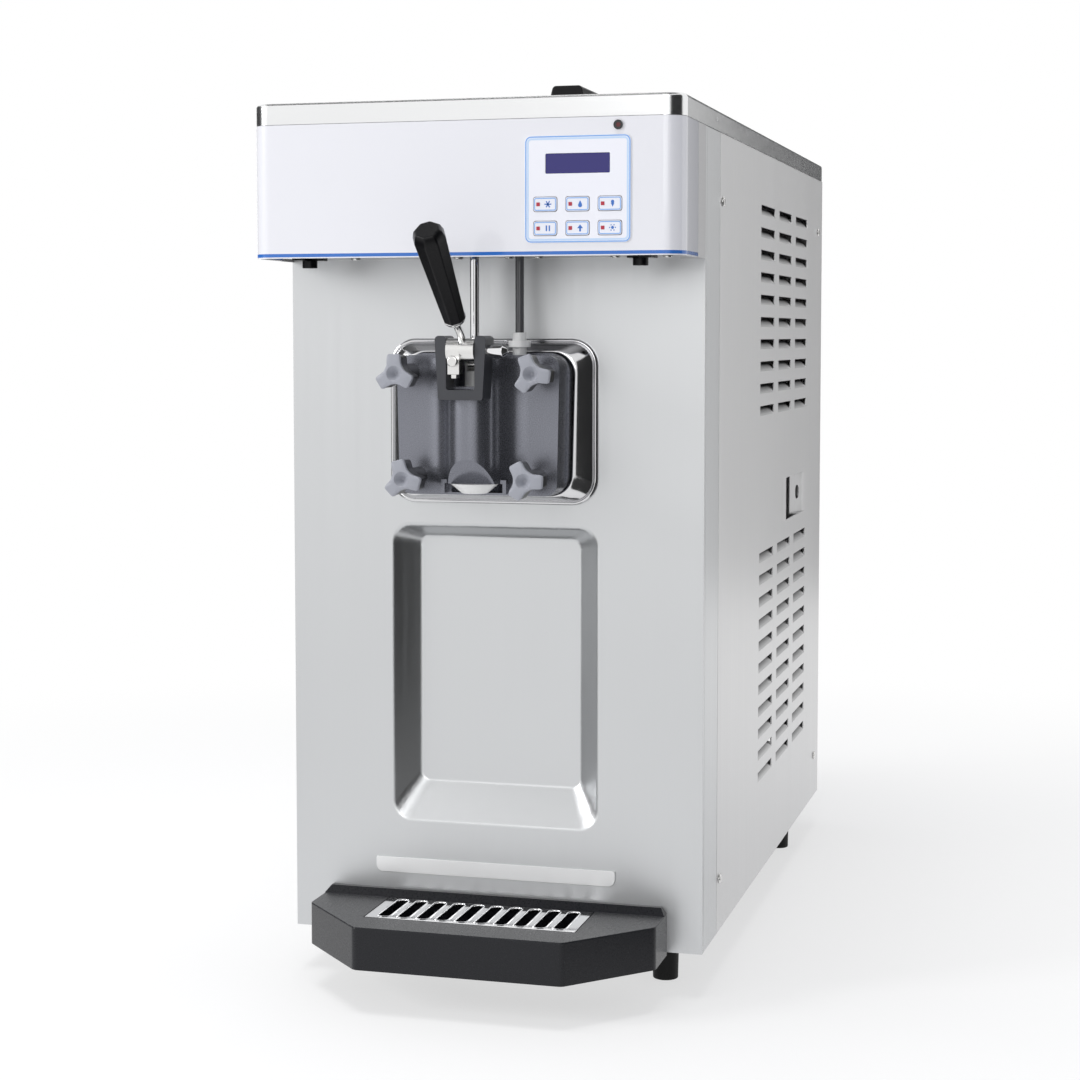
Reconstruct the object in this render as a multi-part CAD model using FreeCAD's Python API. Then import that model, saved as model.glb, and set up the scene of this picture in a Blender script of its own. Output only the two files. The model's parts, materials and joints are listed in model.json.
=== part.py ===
import FreeCAD, Part
import math
import os

os.makedirs("parts", exist_ok=True)

# Lengths are millimetres. X is the machine's right, Y runs from the front panel to the back, Z is up.
# The front panel's outer face is Y = 0 and the counter is Z = 0 until the parts are written out.

# Cabinet
body_width = 350.0
body_depth = 660.0
foot_height = 38.0
cap_top = 721.0
cap_band = 17.0
cap_edge_radius = 3.0
sheet = 1.5
post_depth = 56.0
panel_return = 5.5
post_flange = 20.0
base_wall = 30.0
seam = 0.5
seat_gap = 0.3
run_gap = 0.05
slide_gap = 0.4

# Header
header_reach = 88.0
header_drop = 105.0
header_corner = 16.0
header_wall = 3.0
header_shell_wrap = 58.0
header_floor_lift = 2.0
clip_inset = 39.0
clip_back = 28.0
clip_half = 11.0

# Side louvers and hand grip
louver_length = 78.0
louver_height = 9.0
louver_depth = 5.5
louver_slit = 1.6
louver_columns = 3
louver_column_pitch = 103.5
louver_back_margin = 109.0
louver_row_pitch = 20.4
upper_louver_rows = 10
upper_louver_drop = 46.7
lower_louver_rows = 11
lower_louver_drop = 365.7
grip_back_margin = 115.0
grip_slit = 77.0
grip_length = 122.0
grip_drop = 347.2
grip_height = 41.5
grip_depth = 8.5
grip_hole_width = 10.0
grip_hole_height = 14.0

# Cup recess in the front panel
recess_half = 87.7
recess_lift = 32.0
recess_drop = 19.3
recess_depth = 18.6
recess_side_run = 18.4
recess_low_run = 31.0
recess_high_run = 9.4
recess_corner = 15.0
recess_floor_corner = 9.0
recess_bend = 5.0

# Freezer door and bezel
door_half_top = 67.7
door_taper = 2.2
door_low_margin = 10.3
door_high_margin = 13.3
door_front = 46.0
door_back = 13.0
door_corner = 10.0
door_flange_depth = 32.0
door_flange_step = 1.6
door_flange_corner = 17.0
door_clearance = 1.5
bezel_half = 88.2
bezel_drop = 63.2
bezel_height = 135.1
bezel_corner = 22.0
bezel_lip = 6.0
bezel_lip_height = 4.0
bezel_depth = 15.0
column_radius = 20.0
column_stand = 11.0
column_blend = 26.0
column_rise = 20.0
outlet_lift = 10.0
collar_half = 27.0
collar_leg = 3.0
collar_height = 8.0
port_radius = 7.0
port_lift = 15.0

# Draw valve, yoke and handle
piston_offset = 4.0
piston_radius = 8.0
outlet_wall = 1.5
piston_lift = 3.0
piston_proud = 11.5
slot_depth = 24.5
slot_half = 11.2
yoke_depth = 22.5
yoke_bite = 8.0
yoke_drop = 34.5
yoke_height = 50.0
yoke_half_top = 21.0
yoke_half_bottom = 18.0
yoke_inner_half = 11.5
yoke_bar = 8.0
pin_radius = 4.0
pin_drop = 11.3
pin_inset = 6.5
pin_tip_length = 12.0
pin_tip_radius = 5.6
barrel_radius = 9.3
arm_rest_angle = -18.0
arm_half_width = 4.0
arm_half_thickness = 2.5
nose_radius = 6.0
rod_radius = 3.5
rod_rise = 21.3
grip_angle = 49.7
grip_handle_length = 111.0
grip_handle_low = 22.0
grip_handle_high = 26.0
grip_chamfer = 4.0
ferrule_radius = 6.0
ferrule_length = 7.0
push_rod_radius = 3.75
push_rod_rise = 45.3

# Hand screws
knob_top_inset = 12.1
knob_top_drop = 14.1
knob_bottom_inset = 15.8
knob_bottom_lift = 14.5
knob_stand = 39.0
knob_thick = 12.0
knob_reach = 17.3
knob_lobe_width = 12.0
knob_hub_radius = 8.0
knob_dome = 3.5
stud_radius = 4.0
stud_reach = 24.0

# Control panel in the header
overlay_margin = 40.3
overlay_width = 83.2
overlay_drop = 13.9
overlay_height = 81.2
overlay_thick = 0.8
overlay_corner = 5.0
display_width = 50.7
display_height = 15.3
display_drop = 13.4
key_width = 18.4
key_height = 10.8
key_column_pitch = 25.4
key_row_pitch = 18.3
key_rows_lift = 20.2
key_corner = 2.0
key_proud = 0.5
key_flange = 1.5
key_flange_thick = 1.7
key_travel = 1.0
board_thick = 1.6
lens_radius = 3.0
lens_inset = 9.9
lens_lift = 7.2

# Bleed line
bleed_x = 32.0
bleed_inset = 11.0
bleed_radius = 3.5
bleed_flange_radius = 9.0
bleed_height = 18.0
bleed_rise = 28.0

# Drip tray, grid and drawer
tray_margin = 29.0
tray_nose_run = 60.5
tray_straight = 43.0
tray_reach = 106.0
tray_sink = 2.5
tray_height = 34.5
upstand_height = 5.5
upstand_foot = 10.3
upstand_lip = 4.0
tray_wall = 4.0
tray_edge = 1.0
grid_margin = 58.5
grid_gap = 1.0
grid_depth = 62.0
grid_thick = 2.0
grid_slots = 10
grid_end_margin = 14.2
grid_slot_width = 9.2
grid_slot_margin = 4.6
grid_ledge = 4.0
tray_pin_radius = 4.0
tray_pin_inset = 36.0
tray_pin_lift = 19.5
tray_pin_reach = 9.0
drawer_margin = 72.0
drawer_lift = 19.0
drawer_height = 13.0
drawer_lip = 1.5
drawer_inset = 5.0
drawer_setback = 115.0
drawer_corner = 6.0

# Feet and screws
front_foot_inset = 42.0
front_foot_y = 57.0
rear_foot_inset = 25.0
rear_foot_margin = 115.0
foot_radius = 11.5
screw_radius = 4.0
screw_height = 2.0
side_screw_inset = 10.0
side_screw_margin = 34.0
side_screw_drop = 55.7
side_screw_lift = 45.0

# Hopper
hopper_margin = 63.0
hopper_front = 130.0
hopper_length = 280.0
hopper_lift = 109.75
hopper_corner = 18.0
hopper_flange = 12.0
lid_overhang = 3.0
lid_height = 18.0
lid_handle_width = 27.0
lid_handle_base = 40.0
lid_handle_length = 70.0
lid_handle_height = 27.0
feed_radius = 12.0
feed_bore = 9.0
feed_inset = 40.0
feed_tube_drop = 31.0

# Freezing cylinder and drive
cylinder_radius = 47.0
cylinder_wall = 4.0
cylinder_length = 305.0
cylinder_flange_thick = 10.0
beater_gap = 0.5
beater_bar = 7.0
shaft_radius = 10.0
gearbox_depth = 62.0
gearbox_half = 55.0
motor_radius = 58.0
motor_length = 150.0
rail_gap = 6.75
rail_leg = 54.0
rail_height = 20.0
rail_seat = 14.0

# Cooling set on the base pan
compressor_radius = 65.0
compressor_height = 165.0
compressor_x = -62.0
compressor_setback = 190.0
condenser_half = 125.0
condenser_gap = 39.5
condenser_depth = 44.0
condenser_height = 250.0
condenser_fins = 24
condenser_tubes = 6
fan_radius = 95.0
fan_blades = 5
fan_clearance = 4.0
fan_depth = 26.0
gland_inset = 53.5
gland_lift = 54.0
gland_radius = 11.0

# Positions that follow from the sizes above
half_width = body_width / 2
band_bottom = cap_top - cap_band
panel_top = band_bottom - seat_gap
header_bottom = band_bottom - header_drop
header_floor = header_bottom + header_floor_lift
post_front = panel_return + seam
post_back = post_front + post_depth
side_front = post_back + seam
inside_half = half_width - sheet
rear_inside = body_depth - sheet
base_top = foot_height + sheet
shell_back = header_wall - header_reach
board_face = header_reach - header_wall - seat_gap - key_flange_thick - key_travel - slide_gap

# Louvers and hand grip hang from the top of the side panel and keep their distance from the back
louver_middle_y = body_depth - louver_back_margin - louver_length / 2
louver_middle_y -= (louver_columns - 1) / 2 * louver_column_pitch
upper_louver_top = panel_top - upper_louver_drop
lower_louver_top = panel_top - lower_louver_drop
grip_end = body_depth - grip_back_margin
grip_front = grip_end - grip_length
grip_bottom = panel_top - grip_drop
grip_top = grip_bottom + grip_height

# Door group, hung under the header
bezel_top = header_bottom - bezel_drop
bezel_bottom = bezel_top - bezel_height
door_top = bezel_top - door_high_margin
door_bottom = bezel_bottom + door_low_margin
door_half_bottom = door_half_top - door_taper
door_middle = (door_bottom + door_top) / 2
column_axis = door_front + column_stand
outlet_level = door_bottom + outlet_lift
port_level = outlet_level + port_lift
piston_axis = column_axis - piston_offset
piston_bottom = outlet_level + piston_lift
piston_top = door_top + piston_proud
slot_floor = door_top - slot_depth
yoke_back = column_axis + column_radius - yoke_bite
yoke_front = yoke_back + yoke_depth
yoke_bottom = door_top - yoke_drop
yoke_top = yoke_bottom + yoke_height
pin_level = yoke_top - pin_drop
pin_forward = yoke_front - pin_inset
arm_length = 2 * (pin_forward - piston_axis) / (1 + math.cos(math.radians(arm_rest_angle)))
knob_top_half = door_half_top - knob_top_inset
knob_top_level = door_top - knob_top_drop
knob_bottom_half = door_half_bottom - knob_bottom_inset
knob_bottom_level = door_bottom + knob_bottom_lift
knob_front = door_front + knob_stand
bleed_forward = door_front - bleed_inset

# Control panel
overlay_right = half_width - overlay_margin
overlay_left = overlay_right - overlay_width
overlay_middle = (overlay_left + overlay_right) / 2
overlay_top = band_bottom - overlay_drop
overlay_bottom = overlay_top - overlay_height
display_left = overlay_middle - display_width / 2
display_right = overlay_middle + display_width / 2
display_top = overlay_top - display_drop
display_bottom = display_top - display_height
key_middle_z = overlay_bottom + key_rows_lift
lens_x = overlay_right - lens_inset
lens_z = overlay_top + lens_lift

# Tray, drawer and cup recess, stacked from the feet up
tray_half = half_width - tray_margin
tray_nose_half = tray_half - tray_nose_run
tray_bottom = foot_height - tray_sink
tray_top = tray_bottom + tray_height
grid_half = tray_half - grid_margin
grid_back = upstand_foot + seat_gap + grid_gap
grid_front = grid_back + grid_depth
tray_pin_x = tray_half - tray_pin_inset
tray_pin_level = tray_bottom + tray_pin_lift
drawer_half = half_width - drawer_margin
drawer_low = tray_top + drawer_lift
drawer_high = drawer_low + drawer_height
recess_bottom = drawer_high + recess_lift
recess_top = bezel_bottom - recess_drop
recess_floor_half = recess_half - recess_side_run
recess_floor_bottom = recess_bottom + recess_low_run
recess_floor_top = recess_top - recess_high_run

# Inner pieces
cylinder_bore = cylinder_radius - cylinder_wall
beater_radius = cylinder_bore - beater_gap
rail_level = door_middle - gearbox_half - rail_gap
rail_outer = half_width - post_flange / 2
insulation_half = rail_outer - rail_leg + rail_seat
hopper_half = half_width - hopper_margin
hopper_floor = door_middle + hopper_lift
feed_y = hopper_front + feed_inset
feed_tube_top = cap_top - feed_tube_drop
condenser_front = rear_inside - condenser_gap - condenser_depth
compressor_y = condenser_front - compressor_setback
drawer_depth = compressor_y - drawer_setback
gland_x = inside_half - gland_inset
gland_z = foot_height + gland_lift
Vec = FreeCAD.Vector
along_x = Vec(1, 0, 0)
along_y = Vec(0, 1, 0)
along_z = Vec(0, 0, 1)


def on_xy(level):
    return lambda a, b: Vec(a, b, level)


def on_xz(level):
    return lambda a, b: Vec(a, level, b)


def on_yz(level):
    return lambda a, b: Vec(level, a, b)


# Closed wire through the points, each corner rounded by its own radius
def outline(points, radii, place):
    count = len(points)
    arrive = []
    leave = []
    middle = []
    for index in range(count):
        here = Vec(points[index][0], points[index][1], 0)
        before = Vec(points[index - 1][0], points[index - 1][1], 0)
        after = Vec(points[(index + 1) % count][0], points[(index + 1) % count][1], 0)
        back = (before - here).normalize()
        ahead = (after - here).normalize()
        half_angle = back.getAngle(ahead) / 2
        cut = radii[index] / math.tan(half_angle)
        towards = (back + ahead).normalize()
        reach = radii[index] / math.sin(half_angle) - radii[index]
        arrive.append(here + back * cut)
        leave.append(here + ahead * cut)
        middle.append(here + towards * reach)
    edges = []
    for index in range(count):
        following = (index + 1) % count
        if radii[index] > 0:
            start = place(arrive[index].x, arrive[index].y)
            bend = place(middle[index].x, middle[index].y)
            end = place(leave[index].x, leave[index].y)
            edges.append(Part.Arc(start, bend, end).toShape())
        if (arrive[following] - leave[index]).Length > 1e-6:
            start = place(leave[index].x, leave[index].y)
            end = place(arrive[following].x, arrive[following].y)
            edges.append(Part.makeLine(start, end))
    return Part.Wire(edges)


def rectangle(low_a, high_a, low_b, high_b):
    return [(low_a, low_b), (high_a, low_b), (high_a, high_b), (low_a, high_b)]


def even(points, radius):
    return [radius] * len(points)


def plate(points, radii, place, push):
    return Part.Face(outline(points, radii, place)).extrude(push)


def block(low_x, high_x, low_y, high_y, low_z, high_z):
    return Part.makeBox(high_x - low_x, high_y - low_y, high_z - low_z, Vec(low_x, low_y, low_z))


def rod(radius, start, direction, length):
    return Part.makeCylinder(radius, length, start, direction)


def frustum(near_wire, far_wire):
    return Part.makeLoft([near_wire, far_wire], True, True)


def mirrored(shape):
    return shape.mirror(Vec(0, 0, 0), along_x)


def joined(shapes):
    first = shapes[0]
    return first.multiFuse(shapes[1:]).removeSplitter()


def both_sides(shape):
    return Part.makeCompound([shape, mirrored(shape)])


def door_wire(grow, corner, level):
    corners = [(-door_half_bottom - grow, door_bottom - grow)]
    corners.append((door_half_bottom + grow, door_bottom - grow))
    corners.append((door_half_top + grow, door_top + grow))
    corners.append((-door_half_top - grow, door_top + grow))
    return outline(corners, even(corners, corner), on_xz(level))


# Edges that lie flat at one depth, between two heights
def level_edges(shape, depth, low, high):
    found = []
    for edge in shape.Edges:
        space = edge.BoundBox
        flat = abs(space.YMin - depth) + abs(space.YMax - depth) < seam / 10
        if flat and space.ZMin > low - seam and space.ZMax < high + seam:
            found.append(edge)
    return found


# Stainless front sheet with folded sides, the pressed cup recess, the door opening and the drawer slot
def make_front_panel():
    panel = block(-half_width, half_width, 0, sheet, foot_height, panel_top)
    fold = block(inside_half, half_width, 0, panel_return, foot_height, panel_top)
    near = rectangle(-recess_half, recess_half, recess_bottom, recess_top)
    far = rectangle(-recess_floor_half, recess_floor_half, recess_floor_bottom, recess_floor_top)
    near_back = rectangle(-recess_half - sheet, recess_half + sheet, recess_bottom - sheet,
                          recess_top + sheet)
    far_back = rectangle(-recess_floor_half - sheet, recess_floor_half + sheet,
                         recess_floor_bottom - sheet, recess_floor_top + sheet)
    near_wire = outline(near, even(near, recess_corner), on_xz(0))
    far_wire = outline(far, even(far, recess_floor_corner), on_xz(recess_depth))
    near_back_wire = outline(near_back, even(near, recess_corner + sheet), on_xz(0))
    far_back_wire = outline(far_back, even(far, recess_floor_corner + sheet), on_xz(recess_depth + sheet))
    panel = joined([panel, fold, mirrored(fold), frustum(near_back_wire, far_back_wire)])
    panel = panel.cut(frustum(near_wire, far_wire))
    panel = panel.makeFillet(recess_bend, level_edges(panel, 0, recess_bottom, recess_top))
    panel = panel.makeFillet(recess_bend, level_edges(panel, recess_depth, recess_bottom, recess_top))
    opening = rectangle(bezel_lip - bezel_half, bezel_half - bezel_lip,
                        bezel_bottom + bezel_lip, bezel_top - bezel_lip)
    panel = panel.cut(plate(opening, even(opening, bezel_corner - bezel_lip), on_xz(0), along_y * sheet))
    slot_half_width = drawer_half - drawer_inset
    slot = block(-slot_half_width, slot_half_width, 0, sheet, drawer_low + drawer_lip,
                 drawer_high - drawer_lip)
    pin_hole = rod(tray_pin_radius, Vec(tray_pin_x, 0, tray_pin_level), along_y, sheet)
    return panel.cut(Part.makeCompound([slot, pin_hole, mirrored(pin_hole)]))


# Folded strip between the front panel and a side panel
def make_right_post():
    face = block(inside_half, half_width, post_front, post_back, foot_height, panel_top)
    low = base_top + base_wall
    front_leg = block(half_width - post_flange, half_width, post_front, post_front + sheet, low, panel_top)
    back_leg = block(half_width - post_flange, half_width, post_back - sheet, post_back, low, panel_top)
    return joined([face, front_leg, back_leg])


def louver_tops(first, rows):
    return [first - row * louver_row_pitch for row in range(rows)]


# Side sheet with pressed-in louvers and a sloping hand grip
def make_right_side():
    panel = block(inside_half, half_width, side_front, body_depth, foot_height, panel_top)
    windows = []
    tabs = []
    tops = louver_tops(upper_louver_top, upper_louver_rows)
    tops += louver_tops(lower_louver_top, lower_louver_rows)
    for column in range(louver_columns):
        middle = louver_middle_y + (column - (louver_columns - 1) / 2) * louver_column_pitch
        start = middle - louver_length / 2
        for top in tops:
            low = top - louver_height
            windows.append(block(inside_half, half_width, start, start + louver_length, low, top))
            inner = half_width - louver_depth
            corners = [(half_width, low - sheet), (half_width, low), (inner, top - louver_slit)]
            corners += [(inner - sheet, top - louver_slit), (inside_half, low), (inside_half, low - sheet)]
            tabs.append(plate(corners, even(corners, 0), on_xz(start), along_y * louver_length))
    ramp_start = grip_front + grip_slit
    windows.append(block(inside_half, half_width, grip_front, grip_end, grip_bottom, grip_top))
    panel = panel.cut(Part.makeCompound(windows))
    deep = half_width - grip_depth
    ramp = [(half_width, grip_end), (deep, ramp_start), (deep - sheet, ramp_start),
            (inside_half - sheet, grip_end)]
    ramp += [(inside_half - sheet, grip_end + sheet), (half_width, grip_end + sheet)]
    slope = plate(ramp, even(ramp, 0), on_xy(grip_bottom - sheet), along_z * (grip_height + 2 * sheet))
    cheek = [(half_width - sheet, grip_end), (half_width - sheet, ramp_start), (deep, ramp_start)]
    lower_cheek = plate(cheek, even(cheek, 0), on_xy(grip_bottom - sheet), along_z * sheet)
    upper_cheek = plate(cheek, even(cheek, 0), on_xy(grip_top), along_z * sheet)
    panel = joined([panel, slope, lower_cheek, upper_cheek] + tabs)
    hole_y = (ramp_start + grip_end) / 2
    hole_z = grip_bottom + grip_height / 2
    hole = rectangle(hole_y - grip_hole_width / 2, hole_y + grip_hole_width / 2,
                     hole_z - grip_hole_height / 2, hole_z + grip_hole_height / 2)
    cutter = plate(hole, even(hole, grip_hole_width * 0.45), on_yz(deep - sheet), along_x * grip_depth)
    return panel.cut(cutter)


# Rear sheet between the side panels, with vent slots behind the condenser
def make_rear_panel():
    panel = block(-inside_half, inside_half, rear_inside, body_depth, foot_height, panel_top)
    cutters = []
    vent_pitch = louver_row_pitch
    vent_width = condenser_half - louver_row_pitch / 2
    for row in range(lower_louver_rows):
        low = gland_z + 3 * gland_radius + row * vent_pitch
        slot = rectangle(vent_pitch / 2, vent_width, low, low + louver_height)
        cutter = plate(slot, even(slot, louver_height * 0.45), on_xz(rear_inside), along_y * sheet)
        cutters += [cutter, mirrored(cutter)]
    cutters.append(rod(gland_radius, Vec(gland_x, rear_inside, gland_z), along_y, sheet))
    return panel.cut(Part.makeCompound(cutters))


# Floor sheet with upturned walls behind the outer panels
def make_base_pan():
    outer = block(-inside_half, inside_half, sheet, rear_inside, foot_height, base_top + base_wall)
    inner = block(sheet - inside_half, inside_half - sheet, 2 * sheet, rear_inside - sheet,
                  base_top, base_top + base_wall)
    pan = outer.cut(inner)
    pin_hole = rod(tray_pin_radius, Vec(tray_pin_x, sheet, tray_pin_level), along_y, sheet)
    return pan.cut(both_sides(pin_hole))


def cap_outline(inset, level):
    corners = rectangle(inset - half_width, half_width - inset, inset - header_reach, body_depth - inset)
    front = header_corner - inset
    back = 2 * cap_edge_radius - inset
    return outline(corners, [front, front, back, back], on_xy(level))


# Top cover with a folded band all round and the opening for the hopper
def make_top_cap():
    cap = Part.Face(cap_outline(0, band_bottom)).extrude(along_z * cap_band)
    rim = [edge for edge in cap.Edges if edge.BoundBox.ZMin > cap_top - seam]
    cap = cap.makeFillet(cap_edge_radius, rim)
    cap = cap.cut(Part.Face(cap_outline(sheet, band_bottom)).extrude(along_z * (cap_band - sheet)))
    cap = cap.cut(hopper_block(0, band_bottom, cap_top))
    side_hole = rod(lens_radius * 0.7, Vec(inside_half, 47.5, cap_top - cap_band / 2), along_x, sheet)
    return cap.cut(both_sides(side_hole))


def hopper_block(grow, low, high):
    hopper_back = hopper_front + hopper_length
    corners = rectangle(-hopper_half - grow, hopper_half + grow, hopper_front - grow, hopper_back + grow)
    return plate(corners, even(corners, hopper_corner + grow), on_xy(low), along_z * (high - low))


def key_places():
    places = []
    for row in range(2):
        for column in range(3):
            x = overlay_middle + (column - 1) * key_column_pitch
            z = key_middle_z + (0.5 - row) * key_row_pitch
            places.append((x, z))
    return places


def key_block(x, z, grow, start, end):
    half_w = key_width / 2 + grow
    half_h = key_height / 2 + grow
    corners = rectangle(x - half_w, x + half_w, z - half_h, z + half_h)
    return plate(corners, even(corners, key_corner), on_xz(start), along_y * (end - start))


def display_block(start, end):
    corners = rectangle(display_left, display_right, display_bottom, display_top)
    return plate(corners, even(corners, key_corner / 2), on_xz(start), along_y * (end - start))


def control_windows(start, end):
    cutters = [key_block(x, z, slide_gap, start, end) for x, z in key_places()]
    cutters.append(display_block(start, end))
    return Part.makeCompound(cutters)


# White cover that wraps the front corners of the header
def make_header_shell():
    outer = rectangle(-half_width, half_width, -header_reach, 0)
    inner = rectangle(header_wall - half_width, half_width - header_wall, header_wall - header_reach, seam)
    tall = along_z * (panel_top - header_bottom)
    inner_corner = header_corner - header_wall
    shell = plate(outer, [header_corner, header_corner, 0, 0], on_xy(header_bottom), tall)
    shell = shell.cut(plate(inner, [inner_corner, inner_corner, 0, 0], on_xy(header_bottom), tall))
    shell_end = header_shell_wrap - header_reach
    shell = shell.cut(block(-half_width, half_width, shell_end, seam, header_bottom, panel_top))
    shell = shell.cut(control_windows(-header_reach, header_wall - header_reach))
    return shell.cut(rod(lens_radius, Vec(lens_x, -header_reach, lens_z), along_y, header_wall))


# Grey folded frame behind the white cover: cheeks, floor with guide holes and a flange on the front panel
def make_header_frame():
    shell_end = header_shell_wrap - header_reach
    inner_half = half_width - header_wall
    cheek = block(inside_half, half_width, shell_end + seat_gap, 0, header_bottom, panel_top)
    step = block(inner_half - sheet, half_width, shell_end + seat_gap, shell_end + seat_gap + sheet,
                 header_bottom, panel_top)
    tab = block(inner_half - sheet, inner_half, shell_end - post_flange, shell_end + seat_gap + sheet,
                header_floor, panel_top)
    flange = block(half_width - post_flange, half_width, -sheet, 0, header_bottom, panel_top)
    front = rectangle(-inner_half, inner_half, header_wall - header_reach, 0)
    corner = header_corner - header_wall
    floor = plate(front, [corner, corner, 0, 0], on_xy(header_floor), along_z * sheet)
    frame = joined([floor, cheek, step, tab, flange]
                   + [mirrored(piece) for piece in (cheek, step, tab, flange)])
    guide = rod(push_rod_radius + run_gap, Vec(0, -piston_axis, header_floor), along_z, sheet)
    pass_hole = rod(bleed_radius, Vec(bleed_x, -bleed_forward, header_floor), along_z, sheet)
    return frame.cut(Part.makeCompound([guide, pass_hole]))


# Small black clips that hold the cover to the header floor
def make_header_clips():
    clip_middle = half_width - clip_inset
    half_length = clip_half
    clip_y = clip_back - header_reach
    low = header_floor - 3 * header_wall
    body = block(clip_middle - half_length, clip_middle + half_length,
                 clip_y - half_length, clip_y + half_length,
                 header_floor - header_wall, header_floor)
    lug = rod(half_length * 0.55, Vec(clip_middle, clip_y, low), along_z, 2 * header_wall)
    notch = block(clip_middle - half_length, clip_middle, clip_y - half_length, clip_y, low,
                  header_floor - sheet)
    return both_sides(joined([body.cut(notch), lug]))


# Dome head screws under the header floor
def header_screws():
    heads = []
    for offset in (0.12, 0.26, 0.62, 0.86):
        head = dome_screw(Vec(half_width * offset, -column_axis / 2, header_floor), Vec(0, 0, -1))
        heads += [head, mirrored(head)]
    return heads


def dome_screw(seat, outward):
    head = rod(screw_radius, seat, outward, screw_height)
    rim = [edge for edge in head.Edges if (edge.CenterOfMass - seat).dot(outward) > screw_height * 0.9]
    return head.makeFillet(screw_height * 0.6, rim)


# Thin face plate around the keys and the display
def make_control_overlay():
    corners = rectangle(overlay_left, overlay_right, overlay_bottom, overlay_top)
    face = -header_reach - overlay_thick
    overlay = plate(corners, even(corners, overlay_corner), on_xz(face), along_y * overlay_thick)
    return overlay.cut(control_windows(face, -header_reach))


# Key cap with a flange that holds it behind the cover
def make_key(x, z):
    front = -header_reach - overlay_thick - key_proud
    stop = header_wall + seat_gap - header_reach
    cap = key_block(x, z, 0, front, stop)
    flange = key_block(x, z, key_flange, stop, stop + key_flange_thick)
    return joined([cap, flange])


def make_display():
    return display_block(-header_reach - overlay_thick / 2, -board_face)


def make_lens():
    return rod(lens_radius, Vec(lens_x, -header_reach - overlay_thick, lens_z), along_y,
               header_wall + 2 * overlay_thick)


# Switch board behind the keys, standing on four posts against the cover
def make_control_board():
    margin = overlay_corner / 2
    board = block(overlay_left - margin, overlay_right + margin, -board_face, board_thick - board_face,
                  overlay_bottom - margin, overlay_top + margin)
    posts = []
    for x in (overlay_left, overlay_right):
        for z in (overlay_bottom, overlay_top):
            posts.append(rod(margin, Vec(x, shell_back, z), along_y, -board_face - shell_back))
    return joined([board] + posts)


# Polished ring around the door: rolled lip on the panel and a wall sloping in to the cylinder flange
def make_door_bezel():
    lip = rectangle(-bezel_half, bezel_half, bezel_bottom, bezel_top)
    ring = plate(lip, even(lip, bezel_corner), on_xz(-bezel_lip_height), along_y * bezel_lip_height)
    rim = [edge for edge in ring.Edges if edge.BoundBox.YMax < seam - bezel_lip_height]
    ring = ring.makeFillet(bezel_lip_height * 0.7, rim)
    hole = bezel_lip
    mouth = rectangle(hole - bezel_half, bezel_half - hole, bezel_bottom + hole, bezel_top - hole)
    mouth_corner = bezel_corner - bezel_lip
    mouth_wire = outline(mouth, even(mouth, mouth_corner), on_xz(0))
    foot_outer = door_wire(door_flange_step + door_clearance + sheet, door_flange_corner + sheet,
                           bezel_depth)
    funnel = frustum(mouth_wire, foot_outer)
    hole = bezel_lip + sheet
    inside = rectangle(hole - bezel_half, bezel_half - hole, bezel_bottom + hole, bezel_top - hole)
    inside_wire = outline(inside, even(inside, mouth_corner - sheet), on_xz(-bezel_lip_height))
    foot_inner = door_wire(door_flange_step + door_clearance, door_flange_corner, bezel_depth)
    return joined([ring, funnel]).cut(frustum(inside_wire, foot_inner))


# Plan section of the draw column with its two hollow blends into the door face
def column_section(level):
    spread = math.sqrt((column_radius + column_blend) ** 2 - (door_front + column_blend - column_axis) ** 2)
    centre_y = -door_front - column_blend
    share = column_radius / (column_radius + column_blend)
    touch_x = spread * share
    touch_y = -column_axis + (centre_y + column_axis) * share
    lean = math.atan2(-door_front - centre_y, 0)
    tilt = math.atan2(touch_y - centre_y, touch_x - spread)
    middle_angle = (lean + tilt) / 2
    bend_x = spread + column_blend * math.cos(middle_angle)
    bend_y = centre_y + column_blend * math.sin(middle_angle)
    inside = -door_front + column_blend / 4
    edges = [Part.makeLine(Vec(-spread, inside, level), Vec(-spread, -door_front, level))]
    edges.append(Part.Arc(Vec(-spread, -door_front, level), Vec(-bend_x, bend_y, level),
                          Vec(-touch_x, touch_y, level)).toShape())
    edges.append(Part.Arc(Vec(-touch_x, touch_y, level), Vec(0, -column_axis - column_radius, level),
                          Vec(touch_x, touch_y, level)).toShape())
    edges.append(Part.Arc(Vec(touch_x, touch_y, level), Vec(bend_x, bend_y, level),
                          Vec(spread, -door_front, level)).toShape())
    edges.append(Part.makeLine(Vec(spread, -door_front, level), Vec(spread, inside, level)))
    edges.append(Part.makeLine(Vec(spread, inside, level), Vec(-spread, inside, level)))
    return Part.Wire(edges)


def knob_places():
    places = [(-knob_top_half, knob_top_level), (knob_top_half, knob_top_level)]
    places += [(-knob_bottom_half, knob_bottom_level), (knob_bottom_half, knob_bottom_level)]
    return places


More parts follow.
